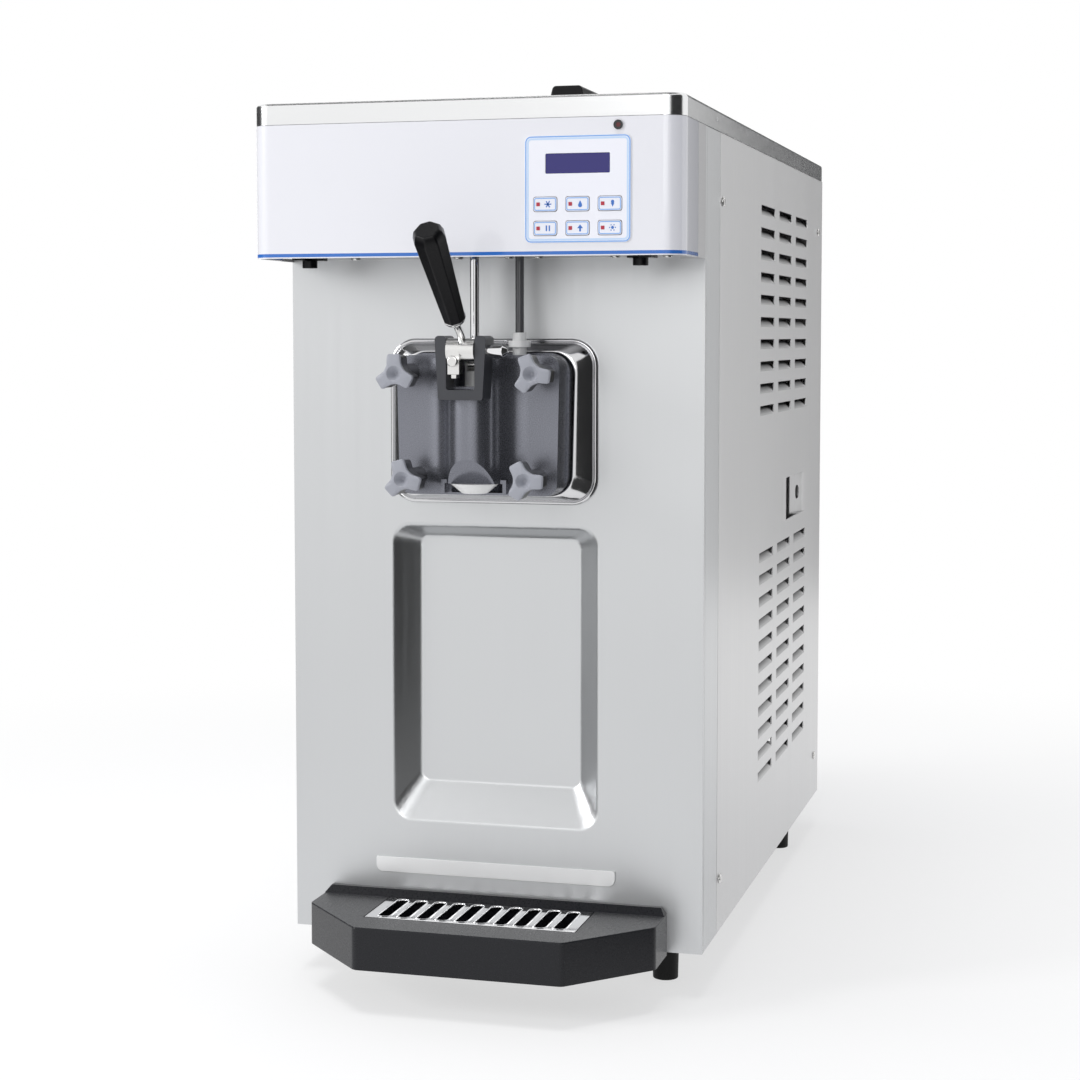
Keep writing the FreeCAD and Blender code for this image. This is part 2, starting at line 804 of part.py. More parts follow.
# Moulded freezer door: stepped block, blended draw column, valve bore, lever slot and outlet collar
def make_freezer_door():
    step = door_back - door_flange_depth
    front = Part.Face(door_wire(0, door_corner, -door_front)).extrude(along_y * (door_front + step))
    flange_wire = door_wire(door_flange_step, door_flange_corner, step)
    flange = Part.Face(flange_wire).extrude(along_y * door_flange_depth)
    spigot = rod(cylinder_bore - seat_gap, Vec(0, door_back, door_middle), along_y,
                 bezel_depth - door_back + sheet)
    column_height = door_top - door_corner / 4 - outlet_level
    column = Part.Face(column_section(outlet_level)).extrude(along_z * column_height)
    face_front = -column_axis - column_radius
    slant_foot = -piston_axis - piston_radius - outlet_wall
    slant = [(face_front, outlet_level - seam), (slant_foot, outlet_level - seam)]
    slant += [(slant_foot, outlet_level), (face_front, outlet_level + column_rise)]
    column = column.cut(plate(slant, even(slant, 0), on_yz(-half_width), along_x * body_width))
    leg = block(collar_half - collar_leg, collar_half, -column_axis, -door_front,
                outlet_level - collar_height, outlet_level)
    web = block(-collar_half, collar_half, -column_axis, -door_front, outlet_level,
                outlet_level + collar_leg)
    door = joined([front, flange, spigot, column, leg, mirrored(leg), web])
    notch = block(-yoke_half_top, yoke_half_top, face_front, -yoke_back, yoke_bottom, door_top)
    slot = block(-slot_half, slot_half, face_front, slot_half - piston_axis, slot_floor, door_top)
    bore = rod(piston_radius + run_gap, Vec(0, -piston_axis, outlet_level - seam), along_z,
               door_top - outlet_level)
    port = rod(port_radius, Vec(0, -piston_axis, port_level), along_y,
               piston_axis + bezel_depth + 2 * sheet)
    outlet = rod(nozzle_top_radius(), Vec(0, -piston_axis, outlet_level - collar_height), along_z,
                 collar_height)
    cutters = [notch, slot, bore, port, outlet]
    for x, z in knob_places():
        cutters.append(rod(stud_radius + seat_gap, Vec(x, -door_front, z), along_y, door_front + door_back))
    return door.cut(Part.makeCompound(cutters))


def nozzle_top_radius():
    return collar_half - collar_leg - 4 * seat_gap


# White outlet nozzle under the column, tapering to the mouth
def make_nozzle():
    top = nozzle_top_radius() - seat_gap * 10
    low = outlet_level - collar_height
    cone = Part.makeCone(top / 2, top, collar_height, Vec(0, -piston_axis, low), along_z)
    mouth = rod(port_radius, Vec(0, -piston_axis, low), along_z, collar_height)
    return cone.cut(mouth)


def make_door_seal():
    outer = rod(cylinder_radius, Vec(0, door_back, door_middle), along_y, bezel_depth - door_back)
    return outer.cut(rod(cylinder_bore, Vec(0, door_back, door_middle), along_y, bezel_depth - door_back))


# Sliding valve piston with the window that the lever nose works in
def make_draw_piston():
    piston = rod(piston_radius, Vec(0, -piston_axis, piston_bottom), along_z, piston_top - piston_bottom)
    window_half = nose_radius + slide_gap
    nose_z = nose_centre().z
    window = block(-arm_half_width - slide_gap, arm_half_width + slide_gap, -piston_axis - piston_radius,
                   piston_radius - piston_axis, nose_z - window_half, nose_z + window_half)
    return piston.cut(window)


def nose_centre():
    angle = math.radians(arm_rest_angle)
    return Vec(0, arm_length * math.cos(angle) - pin_forward, pin_level + arm_length * math.sin(angle))


# Bracket on the column that carries the handle pin
def make_yoke():
    corners = [(-yoke_half_bottom, yoke_bottom), (yoke_half_bottom, yoke_bottom), (yoke_half_top, yoke_top)]
    corners += [(yoke_inner_half, yoke_top), (yoke_inner_half, yoke_bottom + yoke_bar)]
    corners += [(-yoke_inner_half, yoke_bottom + yoke_bar), (-yoke_inner_half, yoke_top),
                (-yoke_half_top, yoke_top)]
    low = yoke_bar / 4
    tip = (yoke_half_top - yoke_inner_half) * 0.35
    radii = [low, low, tip, tip, low, low, tip, tip]
    yoke = plate(corners, radii, on_xz(-yoke_front), along_y * (yoke_front - yoke_back))
    hole = rod(pin_radius, Vec(-half_width, -pin_forward, pin_level), along_x, body_width)
    return yoke.cut(hole)


# Pivot pin with a cone head on the right
def make_pivot_pin():
    shank = rod(pin_radius, Vec(-yoke_half_top, -pin_forward, pin_level), along_x, 2 * yoke_half_top)
    centre = Vec(yoke_half_top, -pin_forward, pin_level)
    head = Part.makeCone(pin_radius, pin_tip_radius, pin_tip_length, centre, along_x)
    end = Vec(yoke_half_top + pin_tip_length, -pin_forward, pin_level)
    tip = Part.makeCone(pin_tip_radius, pin_radius * 0.6, pin_radius, end, along_x)
    return joined([shank, head, tip])


# Barrel on the pin with the arm and nose that lift the piston, and the lug for the adjusting screw
def make_draw_lever():
    pivot = Vec(0, -pin_forward, pin_level)
    half_length = yoke_inner_half - seat_gap
    barrel = rod(barrel_radius, pivot - along_x * half_length, along_x, 2 * half_length)
    arm = block(-arm_half_width, arm_half_width, 0, arm_length, -arm_half_thickness, arm_half_thickness)
    nose = rod(nose_radius, Vec(-arm_half_width, arm_length, 0), along_x, 2 * arm_half_width)
    arm = joined([arm, nose])
    arm.rotate(Vec(0, 0, 0), along_x, arm_rest_angle)
    arm.translate(pivot)
    lug = block(-barrel_radius, 0, -barrel_radius, 0, -2 * barrel_radius, 0)
    lug.translate(pivot)
    lever = joined([barrel, arm, lug])
    lever = lever.cut(rod(pin_radius + run_gap, pivot - along_x * half_length, along_x, 2 * half_length))
    return lever.cut(make_handle_rod())


# Round head screw and hex nut on the lever's lug
def make_adjusting_screw():
    centre = Vec(-barrel_radius / 2, -pin_forward - barrel_radius, pin_level - barrel_radius * 0.9)
    head_radius = screw_radius * 1.1
    head = rod(head_radius, centre, Vec(0, -1, 0), screw_height * 2)
    nut_top = Vec(-barrel_radius / 2, -pin_forward - barrel_radius / 2, pin_level - 2 * barrel_radius)
    corners = []
    for side in range(6):
        angle = math.radians(60 * side)
        corners.append(nut_top + Vec(math.cos(angle), math.sin(angle), 0) * screw_radius)
    nut = Part.Face(Part.makePolygon(corners + corners[:1])).extrude(Vec(0, 0, -1.6 * screw_height))
    rim = [edge for edge in head.Edges if edge.CenterOfMass.y < centre.y - screw_height]
    return Part.makeCompound([head.makeFillet(screw_height * 0.6, rim), nut])


def grip_direction():
    angle = math.radians(grip_angle)
    return Vec(0, -math.sin(angle), math.cos(angle))


def grip_start():
    return Vec(0, -pin_forward, pin_level + rod_rise)


# Bent steel rod from the barrel up into the grip
def make_handle_rod():
    low = Vec(0, -pin_forward, pin_level + barrel_radius * 0.6)
    upright = rod(rod_radius, low, along_z, rod_rise - barrel_radius * 0.6)
    bend = Part.makeSphere(rod_radius, grip_start())
    slanted = rod(rod_radius, grip_start(), grip_direction(), grip_handle_length / 2)
    return joined([upright, bend, slanted])


def make_ferrule():
    collar = Part.makeCone(rod_radius * 1.3, ferrule_radius, ferrule_length,
                           grip_start() + grip_direction() * rod_radius, grip_direction())
    return collar.cut(make_handle_rod())


# Eight-sided grip that widens to a chamfered end
def make_grip():
    base = rod_radius + ferrule_length
    spans = [(base, grip_handle_low), (base + grip_handle_length - grip_chamfer, grip_handle_high)]
    spans.append((base + grip_handle_length, grip_handle_high - 2 * grip_chamfer))
    wires = [octagon(across, distance) for distance, across in spans]
    grip = joined([frustum(wires[0], wires[1]), frustum(wires[1], wires[2])])
    return grip.cut(make_handle_rod())


def octagon(across, distance):
    radius = across / 2 / math.cos(math.radians(22.5))
    centre = grip_start() + grip_direction() * distance
    side = grip_direction().cross(along_x)
    corners = []
    for index in range(8):
        angle = math.radians(22.5 + 45 * index)
        corners.append(centre + along_x * (radius * math.cos(angle)) + side * (radius * math.sin(angle)))
    return Part.makePolygon(corners + corners[:1])


def make_push_rod():
    low = piston_top + seat_gap
    return rod(push_rod_radius, Vec(0, -piston_axis, low), along_z, header_floor + push_rod_rise - low)


def make_bleed_tube():
    low = door_top + bleed_height / 2
    return rod(bleed_radius, Vec(bleed_x, -bleed_forward, low), along_z, header_floor + bleed_rise - low)


# White cross-shaped fitting that joins the bleed tube to the door top
def make_bleed_fitting():
    foot = Vec(bleed_x, -bleed_forward, door_top)
    body = rod(bleed_radius * 1.6, foot, along_z, bleed_height)
    flange = rod(bleed_flange_radius, foot + along_z * (bleed_height * 0.35), along_z, bleed_height * 0.3)
    fitting = joined([body, flange])
    return fitting.cut(make_bleed_tube())


# Three-lobed hand screw with a domed middle and a dark hub behind
def make_knob(x, z, turn):
    back = knob_thick - knob_front
    disc = rod(knob_lobe_width * 0.8, Vec(0, -knob_front, 0), along_y, knob_thick)
    lobes = [disc]
    half_lobe = knob_lobe_width / 2
    for lobe in range(3):
        corners = rectangle(0, knob_reach, -half_lobe, half_lobe)
        arm = plate(corners, [0, half_lobe * 0.55, half_lobe * 0.55, 0], on_xz(-knob_front),
                    along_y * knob_thick)
        arm.rotate(Vec(0, 0, 0), along_y, turn + 120 * lobe)
        lobes.append(arm)
    star = joined(lobes)
    dome = Part.makeCone(knob_dome, knob_lobe_width * 0.55, knob_dome,
                         Vec(0, -knob_front - knob_dome, 0), along_y)
    hub = rod(knob_hub_radius, Vec(0, back, 0), along_y, -back - door_front - seat_gap)
    knob = joined([star, dome, hub])
    knob = knob.cut(rod(stud_radius + run_gap, Vec(0, -door_front - stud_reach - seam, 0), along_y,
                        stud_reach + seam))
    knob.translate(Vec(x, 0, z))
    return knob


# Threaded studs from the cylinder flange through the door
def door_studs():
    studs = []
    for x, z in knob_places():
        studs.append(rod(stud_radius, Vec(x, -door_front - stud_reach, z), along_y,
                         door_front + stud_reach + bezel_depth + cylinder_flange_thick))
    return studs


def tray_points(inset):
    corners = [(-tray_half + inset, -seat_gap - inset), (-tray_half + inset, -tray_straight)]
    corners += [(-tray_nose_half, inset - tray_reach), (tray_nose_half, inset - tray_reach)]
    corners += [(tray_half - inset, -tray_straight), (tray_half - inset, -seat_gap - inset)]
    return corners


# Wedge along the back of the tray that meets the front panel
def tray_wedge():
    foot = rectangle(-tray_half, tray_half, -seat_gap - upstand_foot, -seat_gap)
    lip = rectangle(upstand_lip - tray_half, tray_half - upstand_lip, -seat_gap - upstand_lip, -seat_gap)
    foot_wire = outline(foot, even(foot, 0), on_xy(tray_top))
    lip_wire = outline(lip, even(lip, 0), on_xy(tray_top + upstand_height))
    return frustum(foot_wire, lip_wire)


# Black drip tray: angled nose, basin under the grid, sockets for the pins and the wedge at the panel
def make_drip_tray():
    corners = tray_points(0)
    soft = tray_wall * 2
    radii = [0, soft, soft, soft, soft, 0]
    tray = plate(corners, radii, on_xy(tray_bottom), along_z * tray_height)
    rim = [edge for edge in tray.Edges
           if edge.BoundBox.ZMin > tray_top - seam and edge.BoundBox.YMin < -2 * seam]
    rim = [edge for edge in rim if edge.BoundBox.YMax < -upstand_foot or edge.BoundBox.XLength < seam]
    tray = joined([tray.makeFillet(tray_edge, rim), tray_wedge()])
    seat = block(-grid_half - grid_gap, grid_half + grid_gap, -grid_front - grid_gap, grid_gap - grid_back,
                 tray_top - grid_thick, tray_top + upstand_height)
    ledge = grid_ledge
    basin = block(ledge - grid_half, grid_half - ledge, ledge - grid_front, -grid_back - ledge,
                  tray_bottom + tray_wall, tray_top)
    depth = tray_pin_reach + seam
    socket = rod(tray_pin_radius + run_gap, Vec(tray_pin_x, -depth, tray_pin_level), along_y, depth)
    return tray.cut(Part.makeCompound([seat, basin, socket, mirrored(socket)]))


# Locating pins on the front panel that the tray pushes onto
def make_tray_pins():
    shank = rod(tray_pin_radius, Vec(tray_pin_x, -tray_pin_reach, tray_pin_level), along_y,
                tray_pin_reach + 2 * sheet)
    collar = rod(tray_pin_radius * 2, Vec(tray_pin_x, 2 * sheet, tray_pin_level), along_y, 2 * sheet)
    return both_sides(joined([shank, collar]))


# Slotted steel grid that drops into the tray
def make_drip_grid():
    grid = block(-grid_half, grid_half, -grid_front, -grid_back, tray_top - grid_thick, tray_top)
    pitch = 2 * (grid_half - grid_end_margin) / (grid_slots - 1)
    cutters = []
    for index in range(grid_slots):
        x = (index - (grid_slots - 1) / 2) * pitch
        slot = rectangle(x - grid_slot_width / 2, x + grid_slot_width / 2,
                         grid_slot_margin - grid_front, -grid_back - grid_slot_margin)
        cutters.append(plate(slot, even(slot, grid_slot_width * 0.45), on_xy(tray_top - grid_thick),
                             along_z * grid_thick))
    return grid.cut(Part.makeCompound(cutters))


# Long shallow drawer whose front strip covers the slot in the panel
def make_drip_drawer():
    strip = rectangle(-drawer_half, drawer_half, drawer_low, drawer_high)
    front = plate(strip, [drawer_corner, drawer_corner, sheet, sheet], on_xz(-seat_gap - sheet),
                  along_y * sheet)
    half = drawer_half - drawer_inset - slide_gap
    low = drawer_low + drawer_lip + slide_gap
    high = drawer_high - drawer_lip - slide_gap
    tray = block(-half, half, -seat_gap - sheet / 2, drawer_depth, low, high)
    hollow = block(sheet - half, half - sheet, 2 * sheet, drawer_depth - sheet, low + sheet, high)
    return joined([front, tray.cut(hollow)])


# Folded guide that carries the drawer, on two legs from the base pan
def make_drawer_guide():
    half = drawer_half - drawer_inset
    low = drawer_low + drawer_lip
    high = drawer_high - drawer_lip
    end = drawer_depth + slide_gap
    outer = block(-half - sheet, half + sheet, 2 * sheet, end + sheet, low - sheet, high)
    guide = outer.cut(block(-half, half, 2 * sheet, end, low, high))
    legs = []
    for start in (4 * sheet, end - drawer_half / 2):
        legs.append(block(-half - sheet, half + sheet, start, start + 4 * sheet, base_top, low - sheet))
    return joined([guide] + legs)


# Rubber feet, all alike
def make_feet():
    feet = []
    front = (half_width - front_foot_inset, front_foot_y)
    rear = (half_width - rear_foot_inset, body_depth - rear_foot_margin)
    for half, y in (front, rear):
        foot = Part.makeCone(foot_radius * 0.92, foot_radius, foot_height, Vec(half, y, 0), along_z)
        feet += [foot, mirrored(foot)]
    return Part.makeCompound(feet)


# Dome head screws through the side panels
def side_screws():
    heads = []
    for y in (side_front + side_screw_inset, body_depth - side_screw_margin):
        for z in (foot_height + side_screw_lift, panel_top - side_screw_drop):
            head = dome_screw(Vec(half_width, y, z), along_x)
            heads += [head, mirrored(head)]
    return heads


# Dome head screws in the rear panel
def rear_screws():
    heads = []
    for z in (foot_height + side_screw_lift / 2, door_middle, panel_top - side_screw_drop):
        head = dome_screw(Vec(inside_half - 4 * screw_radius, body_depth, z), along_y)
        heads += [head, mirrored(head)]
    return heads


# Cable gland in the rear panel: body, hex flange and round dome
def make_power_gland():
    body = rod(gland_radius, Vec(gland_x, rear_inside - 4 * sheet, gland_z), along_y, 5 * sheet)
    dome = Part.makeCone(gland_radius * 1.3, gland_radius * 0.9, gland_radius,
                         Vec(gland_x, body_depth, gland_z), along_y)
    gland = joined([body, dome])
    cord_hole = rod(gland_radius * 0.4, Vec(gland_x, rear_inside - 4 * sheet, gland_z), along_y,
                    3 * gland_radius)
    return gland.cut(cord_hole)


# Hopper pan hung from the cap by its flange, with the feed pipe down to the cylinder
def make_hopper_tank():
    pan = hopper_block(0, hopper_floor, cap_top)
    flange = hopper_block(hopper_flange, cap_top, cap_top + sheet)
    pipe_low = door_middle + cylinder_bore
    pipe = rod(feed_radius, Vec(0, feed_y, pipe_low), along_z, hopper_floor - pipe_low)
    tank = joined([pan, flange, pipe])
    tank = tank.cut(hopper_block(-sheet, hopper_floor + sheet, cap_top + sheet))
    bore = rod(feed_bore, Vec(0, feed_y, pipe_low), along_z, hopper_floor + sheet - pipe_low)
    tank = tank.cut(bore)
    return tank.cut(rod(cylinder_radius, Vec(0, 0, door_middle), along_y, hopper_front + hopper_length))


# Lift-off lid with a rim around the hopper flange
def make_hopper_lid():
    grow = hopper_flange + lid_overhang
    top = cap_top + lid_height
    lid = hopper_block(grow, cap_top + seat_gap, top)
    rim = [edge for edge in lid.Edges if edge.BoundBox.ZMin > top - seam]
    lid = lid.makeFillet(lid_overhang, rim)
    return lid.cut(hopper_block(grow - sheet, cap_top + seat_gap, top - sheet))


# Trapezoid grip bar on the lid
def make_lid_handle():
    low = cap_top + lid_height
    high = low + lid_handle_height
    corners = [(-lid_handle_base / 2, low), (lid_handle_base / 2, low), (lid_handle_width / 2, high)]
    corners.append((-lid_handle_width / 2, high))
    start = hopper_front + hopper_length / 2 - lid_handle_length / 2
    edge = lid_handle_width * 0.15
    return plate(corners, [0, 0, edge, edge], on_xz(start), along_y * lid_handle_length)


# Loose feed tube that stands in the hopper's outlet
def make_feed_tube():
    low = door_middle + cylinder_radius + feed_radius
    tube = rod(feed_bore - run_gap, Vec(0, feed_y, low), along_z, feed_tube_top - low)
    return tube.cut(rod(feed_bore * 0.7, Vec(0, feed_y, low), along_z, feed_tube_top - low))


def cylinder_back():
    return bezel_depth + cylinder_flange_thick + cylinder_length


# Freezing cylinder: square front flange with the door studs, barrel and rear wall with the shaft hole
def make_freezing_cylinder():
    grow = door_flange_step + door_clearance + 3 * sheet
    flange_wire = door_wire(grow, door_flange_corner, bezel_depth)
    flange = Part.Face(flange_wire).extrude(along_y * cylinder_flange_thick)
    back = cylinder_back()
    barrel = rod(cylinder_radius, Vec(0, bezel_depth, door_middle), along_y, back - bezel_depth)
    cylinder = joined([flange, barrel] + door_studs())
    bore = rod(cylinder_bore, Vec(0, bezel_depth, door_middle), along_y, back - bezel_depth - 4 * sheet)
    shaft_hole = rod(shaft_radius + run_gap, Vec(0, bezel_depth, door_middle), along_y, back)
    inlet = rod(feed_bore, Vec(0, feed_y, door_middle), along_z, 2 * cylinder_radius)
    return cylinder.cut(Part.makeCompound([bore, shaft_hole, inlet]))


# Foam block around the cylinder and under the hopper
def make_insulation():
    front = bezel_depth + cylinder_flange_thick
    foam = block(-insulation_half, insulation_half, front, cylinder_back() - 4 * sheet, rail_level,
                 hopper_floor)
    bore = rod(cylinder_radius, Vec(0, front, door_middle), along_y, cylinder_length)
    pipe = rod(feed_radius, Vec(0, feed_y, door_middle), along_z, hopper_floor - door_middle)
    return foam.cut(Part.makeCompound([bore, pipe]))


# Angle rails along both sides that carry the cylinder set
def make_support_rails():
    outer = rail_outer
    foot = block(outer - rail_leg, outer, post_back, rear_inside, rail_level - sheet, rail_level)
    upright = block(outer - sheet, outer, post_back, rear_inside, rail_level - sheet,
                    rail_level + rail_height)
    return both_sides(joined([foot, upright]))


# Scraper frame that turns in the cylinder: end rings, bars and a middle shaft
def make_beater():
    start = bezel_depth + 4 * sheet
    end = cylinder_back() - 5 * sheet
    pieces = [rod(shaft_radius * 0.6, Vec(0, start, door_middle), along_y, end - start)]
    for bar in range(4):
        blade = block(-beater_bar / 2, beater_bar / 2, start, end, beater_radius - 2 * beater_bar,
                      beater_radius)
        blade.rotate(Vec(0, 0, 0), along_y, 90 * bar)
        blade.translate(Vec(0, 0, door_middle))
        pieces.append(blade)
    sweep = rod(beater_radius, Vec(0, start, door_middle), along_y, end - start)
    bars = joined(pieces[1:]).common(sweep)
    rings = []
    for share in (0.0, 0.5, 1.0):
        y = start + share * (end - start - beater_bar)
        for turn in (0, 90):
            spoke = block(-beater_radius + 1, beater_radius - 1, y, y + beater_bar, -beater_bar / 2,
                          beater_bar / 2)
            spoke.rotate(Vec(0, 0, 0), along_y, turn)
            spoke.translate(Vec(0, 0, door_middle))
            rings.append(spoke)
    return joined([pieces[0], bars] + rings)


def make_drive_shaft():
    start = cylinder_back() - 5 * sheet
    return rod(shaft_radius, Vec(0, start, door_middle), along_y, 5 * sheet + gearbox_depth / 2)


# Gearbox on the cylinder's rear wall, with a foot plate across the rails
def make_gearbox():
    front = cylinder_back()
    corners = rectangle(-gearbox_half, gearbox_half, door_middle - gearbox_half, door_middle + gearbox_half)
    case = plate(corners, even(corners, gearbox_half * 0.2), on_xz(front), along_y * gearbox_depth)
    foot = block(-insulation_half, insulation_half, front, front + gearbox_depth, rail_level,
                 rail_level + 5 * sheet)
    socket = rod(shaft_radius + run_gap, Vec(0, front, door_middle), along_y, gearbox_depth / 2 + seam)
    return joined([case, foot]).cut(socket)


# Drive motor with a ribbed body behind the gearbox
def make_drive_motor():
    front = cylinder_back() + gearbox_depth
    body = rod(motor_radius * 0.92, Vec(0, front, door_middle), along_y, motor_length)
    pieces = [body]
    for share in (0.0, 0.2, 0.4, 0.6, 0.8):
        pieces.append(rod(motor_radius, Vec(0, front + share * motor_length, door_middle), along_y,
                          motor_length * 0.1))
    return joined(pieces)


# Sealed compressor: welded can with a domed top on three rubber-footed lugs
def make_compressor():
    foot_lift = 8 * sheet
    centre = Vec(compressor_x, compressor_y, base_top + foot_lift)
    can = rod(compressor_radius, centre, along_z, compressor_height)
    top = [edge for edge in can.Edges
           if edge.BoundBox.ZMin > base_top + foot_lift + compressor_height - seam]
    can = can.makeFillet(compressor_radius * 0.45, top)
    pieces = [can]
    for turn in (90, 210, 330):
        angle = math.radians(turn)
        foot = centre + Vec(math.cos(angle), math.sin(angle), 0) * compressor_radius
        pieces.append(rod(compressor_radius * 0.2, Vec(foot.x, foot.y, base_top), along_z, 2 * foot_lift))
    return joined(pieces)


# Finned condenser between two end plates, with a shroud frame for the fan on its front
def make_condenser():
    low = base_top
    high = low + condenser_height
    back = condenser_front + condenser_depth
    pieces = []
    pitch = 2 * condenser_half / condenser_fins
    for index in range(condenser_fins + 1):
        x = index * pitch - condenser_half
        pieces.append(block(x - sheet / 2, x + sheet / 2, condenser_front, back, low, high))
    tube = condenser_depth / 4
    for index in range(condenser_tubes):
        z = low + (index + 0.5) * condenser_height / condenser_tubes
        middle = condenser_front + condenser_depth / 2
        pieces.append(block(-condenser_half, condenser_half, middle - tube, middle + tube,
                            z - sheet * 2, z + sheet * 2))
    return joined(pieces)


def fan_centre():
    return Vec(0, condenser_front - fan_depth, base_top + condenser_height / 2)


# Square plate with a round duct in front of the condenser, and the struts that hold the motor
def make_fan_shroud():
    middle = fan_centre()
    high = base_top + condenser_height
    shroud = block(-condenser_half, condenser_half, condenser_front - sheet, condenser_front, base_top,
                   high)
    duct_radius = fan_radius + fan_clearance
    duct = rod(duct_radius + sheet, middle, along_y, fan_depth)
    shroud = joined([shroud, duct])
    shroud = shroud.cut(rod(duct_radius, middle, along_y, fan_depth))
    strut_y = middle.y - sheet
    strut_half = fan_radius * 0.06
    struts = []
    for turn in (0, 90):
        strut = block(-duct_radius - sheet, duct_radius + sheet, strut_y, middle.y, -strut_half, strut_half)
        strut.rotate(Vec(0, 0, 0), along_y, turn)
        strut.translate(Vec(0, 0, middle.z))
        struts.append(strut)
    shaft_hole = rod(shaft_radius, Vec(0, strut_y, middle.z), along_y, sheet)
    return joined([shroud] + struts).cut(shaft_hole)


def make_fan_motor():
    middle = fan_centre()
    length = fan_radius * 0.45
    can = rod(fan_radius * 0.3, Vec(0, middle.y - sheet - length, middle.z), along_y, length)
    nose = rod(shaft_radius, Vec(0, middle.y - sheet, middle.z), along_y, 3 * sheet)
    spindle = rod(stud_radius, Vec(0, middle.y, middle.z), along_y, fan_depth * 0.6)
    return joined([can, nose, spindle])


# Fan with pitched blades on a hub that runs on the motor spindle
def make_fan():
    middle = fan_centre()
    start = middle.y + 4 * sheet
    hub_length = fan_depth * 0.55
    hub_radius = fan_radius * 0.24
    pieces = [rod(hub_radius, Vec(0, start, middle.z), along_y, hub_length)]
    for index in range(fan_blades):
        blade = block(hub_radius * 0.8, fan_radius, -fan_radius * 0.2, fan_radius * 0.2, -sheet / 2,
                      sheet / 2)
        blade.rotate(Vec(0, 0, 0), along_x, 68)
        blade.rotate(Vec(0, 0, 0), along_y, index * 360 / fan_blades)
        blade.translate(Vec(0, start + hub_length / 2, middle.z))
        pieces.append(blade)
    slice_box = block(-half_width, half_width, start, start + hub_length, 0, cap_top)
    fan = joined(pieces).common(slice_box)
    sweep = rod(fan_radius, Vec(0, start, middle.z), along_y, hub_length)
    fan = fan.common(sweep)
    return fan.cut(rod(stud_radius + run_gap, Vec(0, start, middle.z), along_y, fan_depth * 0.5))


nodes = {}
nodes["front_panel"] = make_front_panel()
nodes["corner_posts"] = both_sides(make_right_post())
nodes["right_side_panel"] = make_right_side()
nodes["left_side_panel"] = mirrored(nodes["right_side_panel"])
nodes["rear_panel"] = make_rear_panel()
nodes["base_pan"] = make_base_pan()
nodes["top_cap"] = make_top_cap()
nodes["header_shell"] = make_header_shell()
nodes["header_frame"] = make_header_frame()
nodes["header_clips"] = make_header_clips()
nodes["control_overlay"] = make_control_overlay()
nodes["display_window"] = make_display()
nodes["indicator_lens"] = make_lens()
nodes["control_board"] = make_control_board()
for number, (key_x, key_z) in enumerate(key_places(), start=1):
    nodes["key_%d" % number] = make_key(key_x, key_z)
nodes["door_bezel"] = make_door_bezel()
nodes["freezer_door"] = make_freezer_door()
nodes["outlet_nozzle"] = make_nozzle()
nodes["door_seal"] = make_door_seal()
nodes["draw_piston"] = make_draw_piston()
nodes["yoke"] = make_yoke()
nodes["pivot_pin"] = make_pivot_pin()
nodes["draw_lever"] = make_draw_lever()
nodes["adjusting_screw"] = make_adjusting_screw()
nodes["handle_rod"] = joined([make_handle_rod(), make_ferrule()])
nodes["handle_grip"] = make_grip()
nodes["push_rod"] = make_push_rod()
nodes["bleed_tube"] = make_bleed_tube()
nodes["bleed_fitting"] = make_bleed_fitting()
knob_turns = (-92, -112, -104, -118)
for number, (knob_x, knob_z) in enumerate(knob_places(), start=1):
    nodes["hand_screw_%d" % number] = make_knob(knob_x, knob_z, knob_turns[number - 1])
nodes["drip_tray"] = make_drip_tray()
nodes["tray_pins"] = make_tray_pins()
nodes["drip_grid"] = make_drip_grid()
nodes["drip_drawer"] = make_drip_drawer()
nodes["drawer_guide"] = make_drawer_guide()
nodes["feet"] = make_feet()
nodes["cabinet_screws"] = Part.makeCompound(header_screws() + side_screws() + rear_screws())
nodes["power_gland"] = make_power_gland()
nodes["hopper_tank"] = make_hopper_tank()
nodes["hopper_lid"] = make_hopper_lid()
nodes["lid_handle"] = make_lid_handle()
nodes["feed_tube"] = make_feed_tube()
nodes["freezing_cylinder"] = make_freezing_cylinder()
nodes["insulation"] = make_insulation()
nodes["support_rails"] = make_support_rails()
nodes["beater"] = joined([make_beater(), make_drive_shaft()])
nodes["gear_motor"] = joined([make_gearbox(), make_drive_motor()])
nodes["compressor"] = make_compressor()
nodes["condenser"] = make_condenser()
nodes["fan_mount"] = joined([make_fan_shroud(), make_fan_motor()])
nodes["fan"] = make_fan()

# The origin goes to the middle of the whole footprint, on the counter
whole = Part.makeCompound(list(nodes.values())).BoundBox
shift = Vec(0, -(whole.YMin + whole.YMax) / 2, 0)
for name, shape in nodes.items():
    shape.translate(shift)
    shape.exportStep("parts/%s.step" % name)
print("shift", shift.y, "nodes", len(nodes), "box", whole)
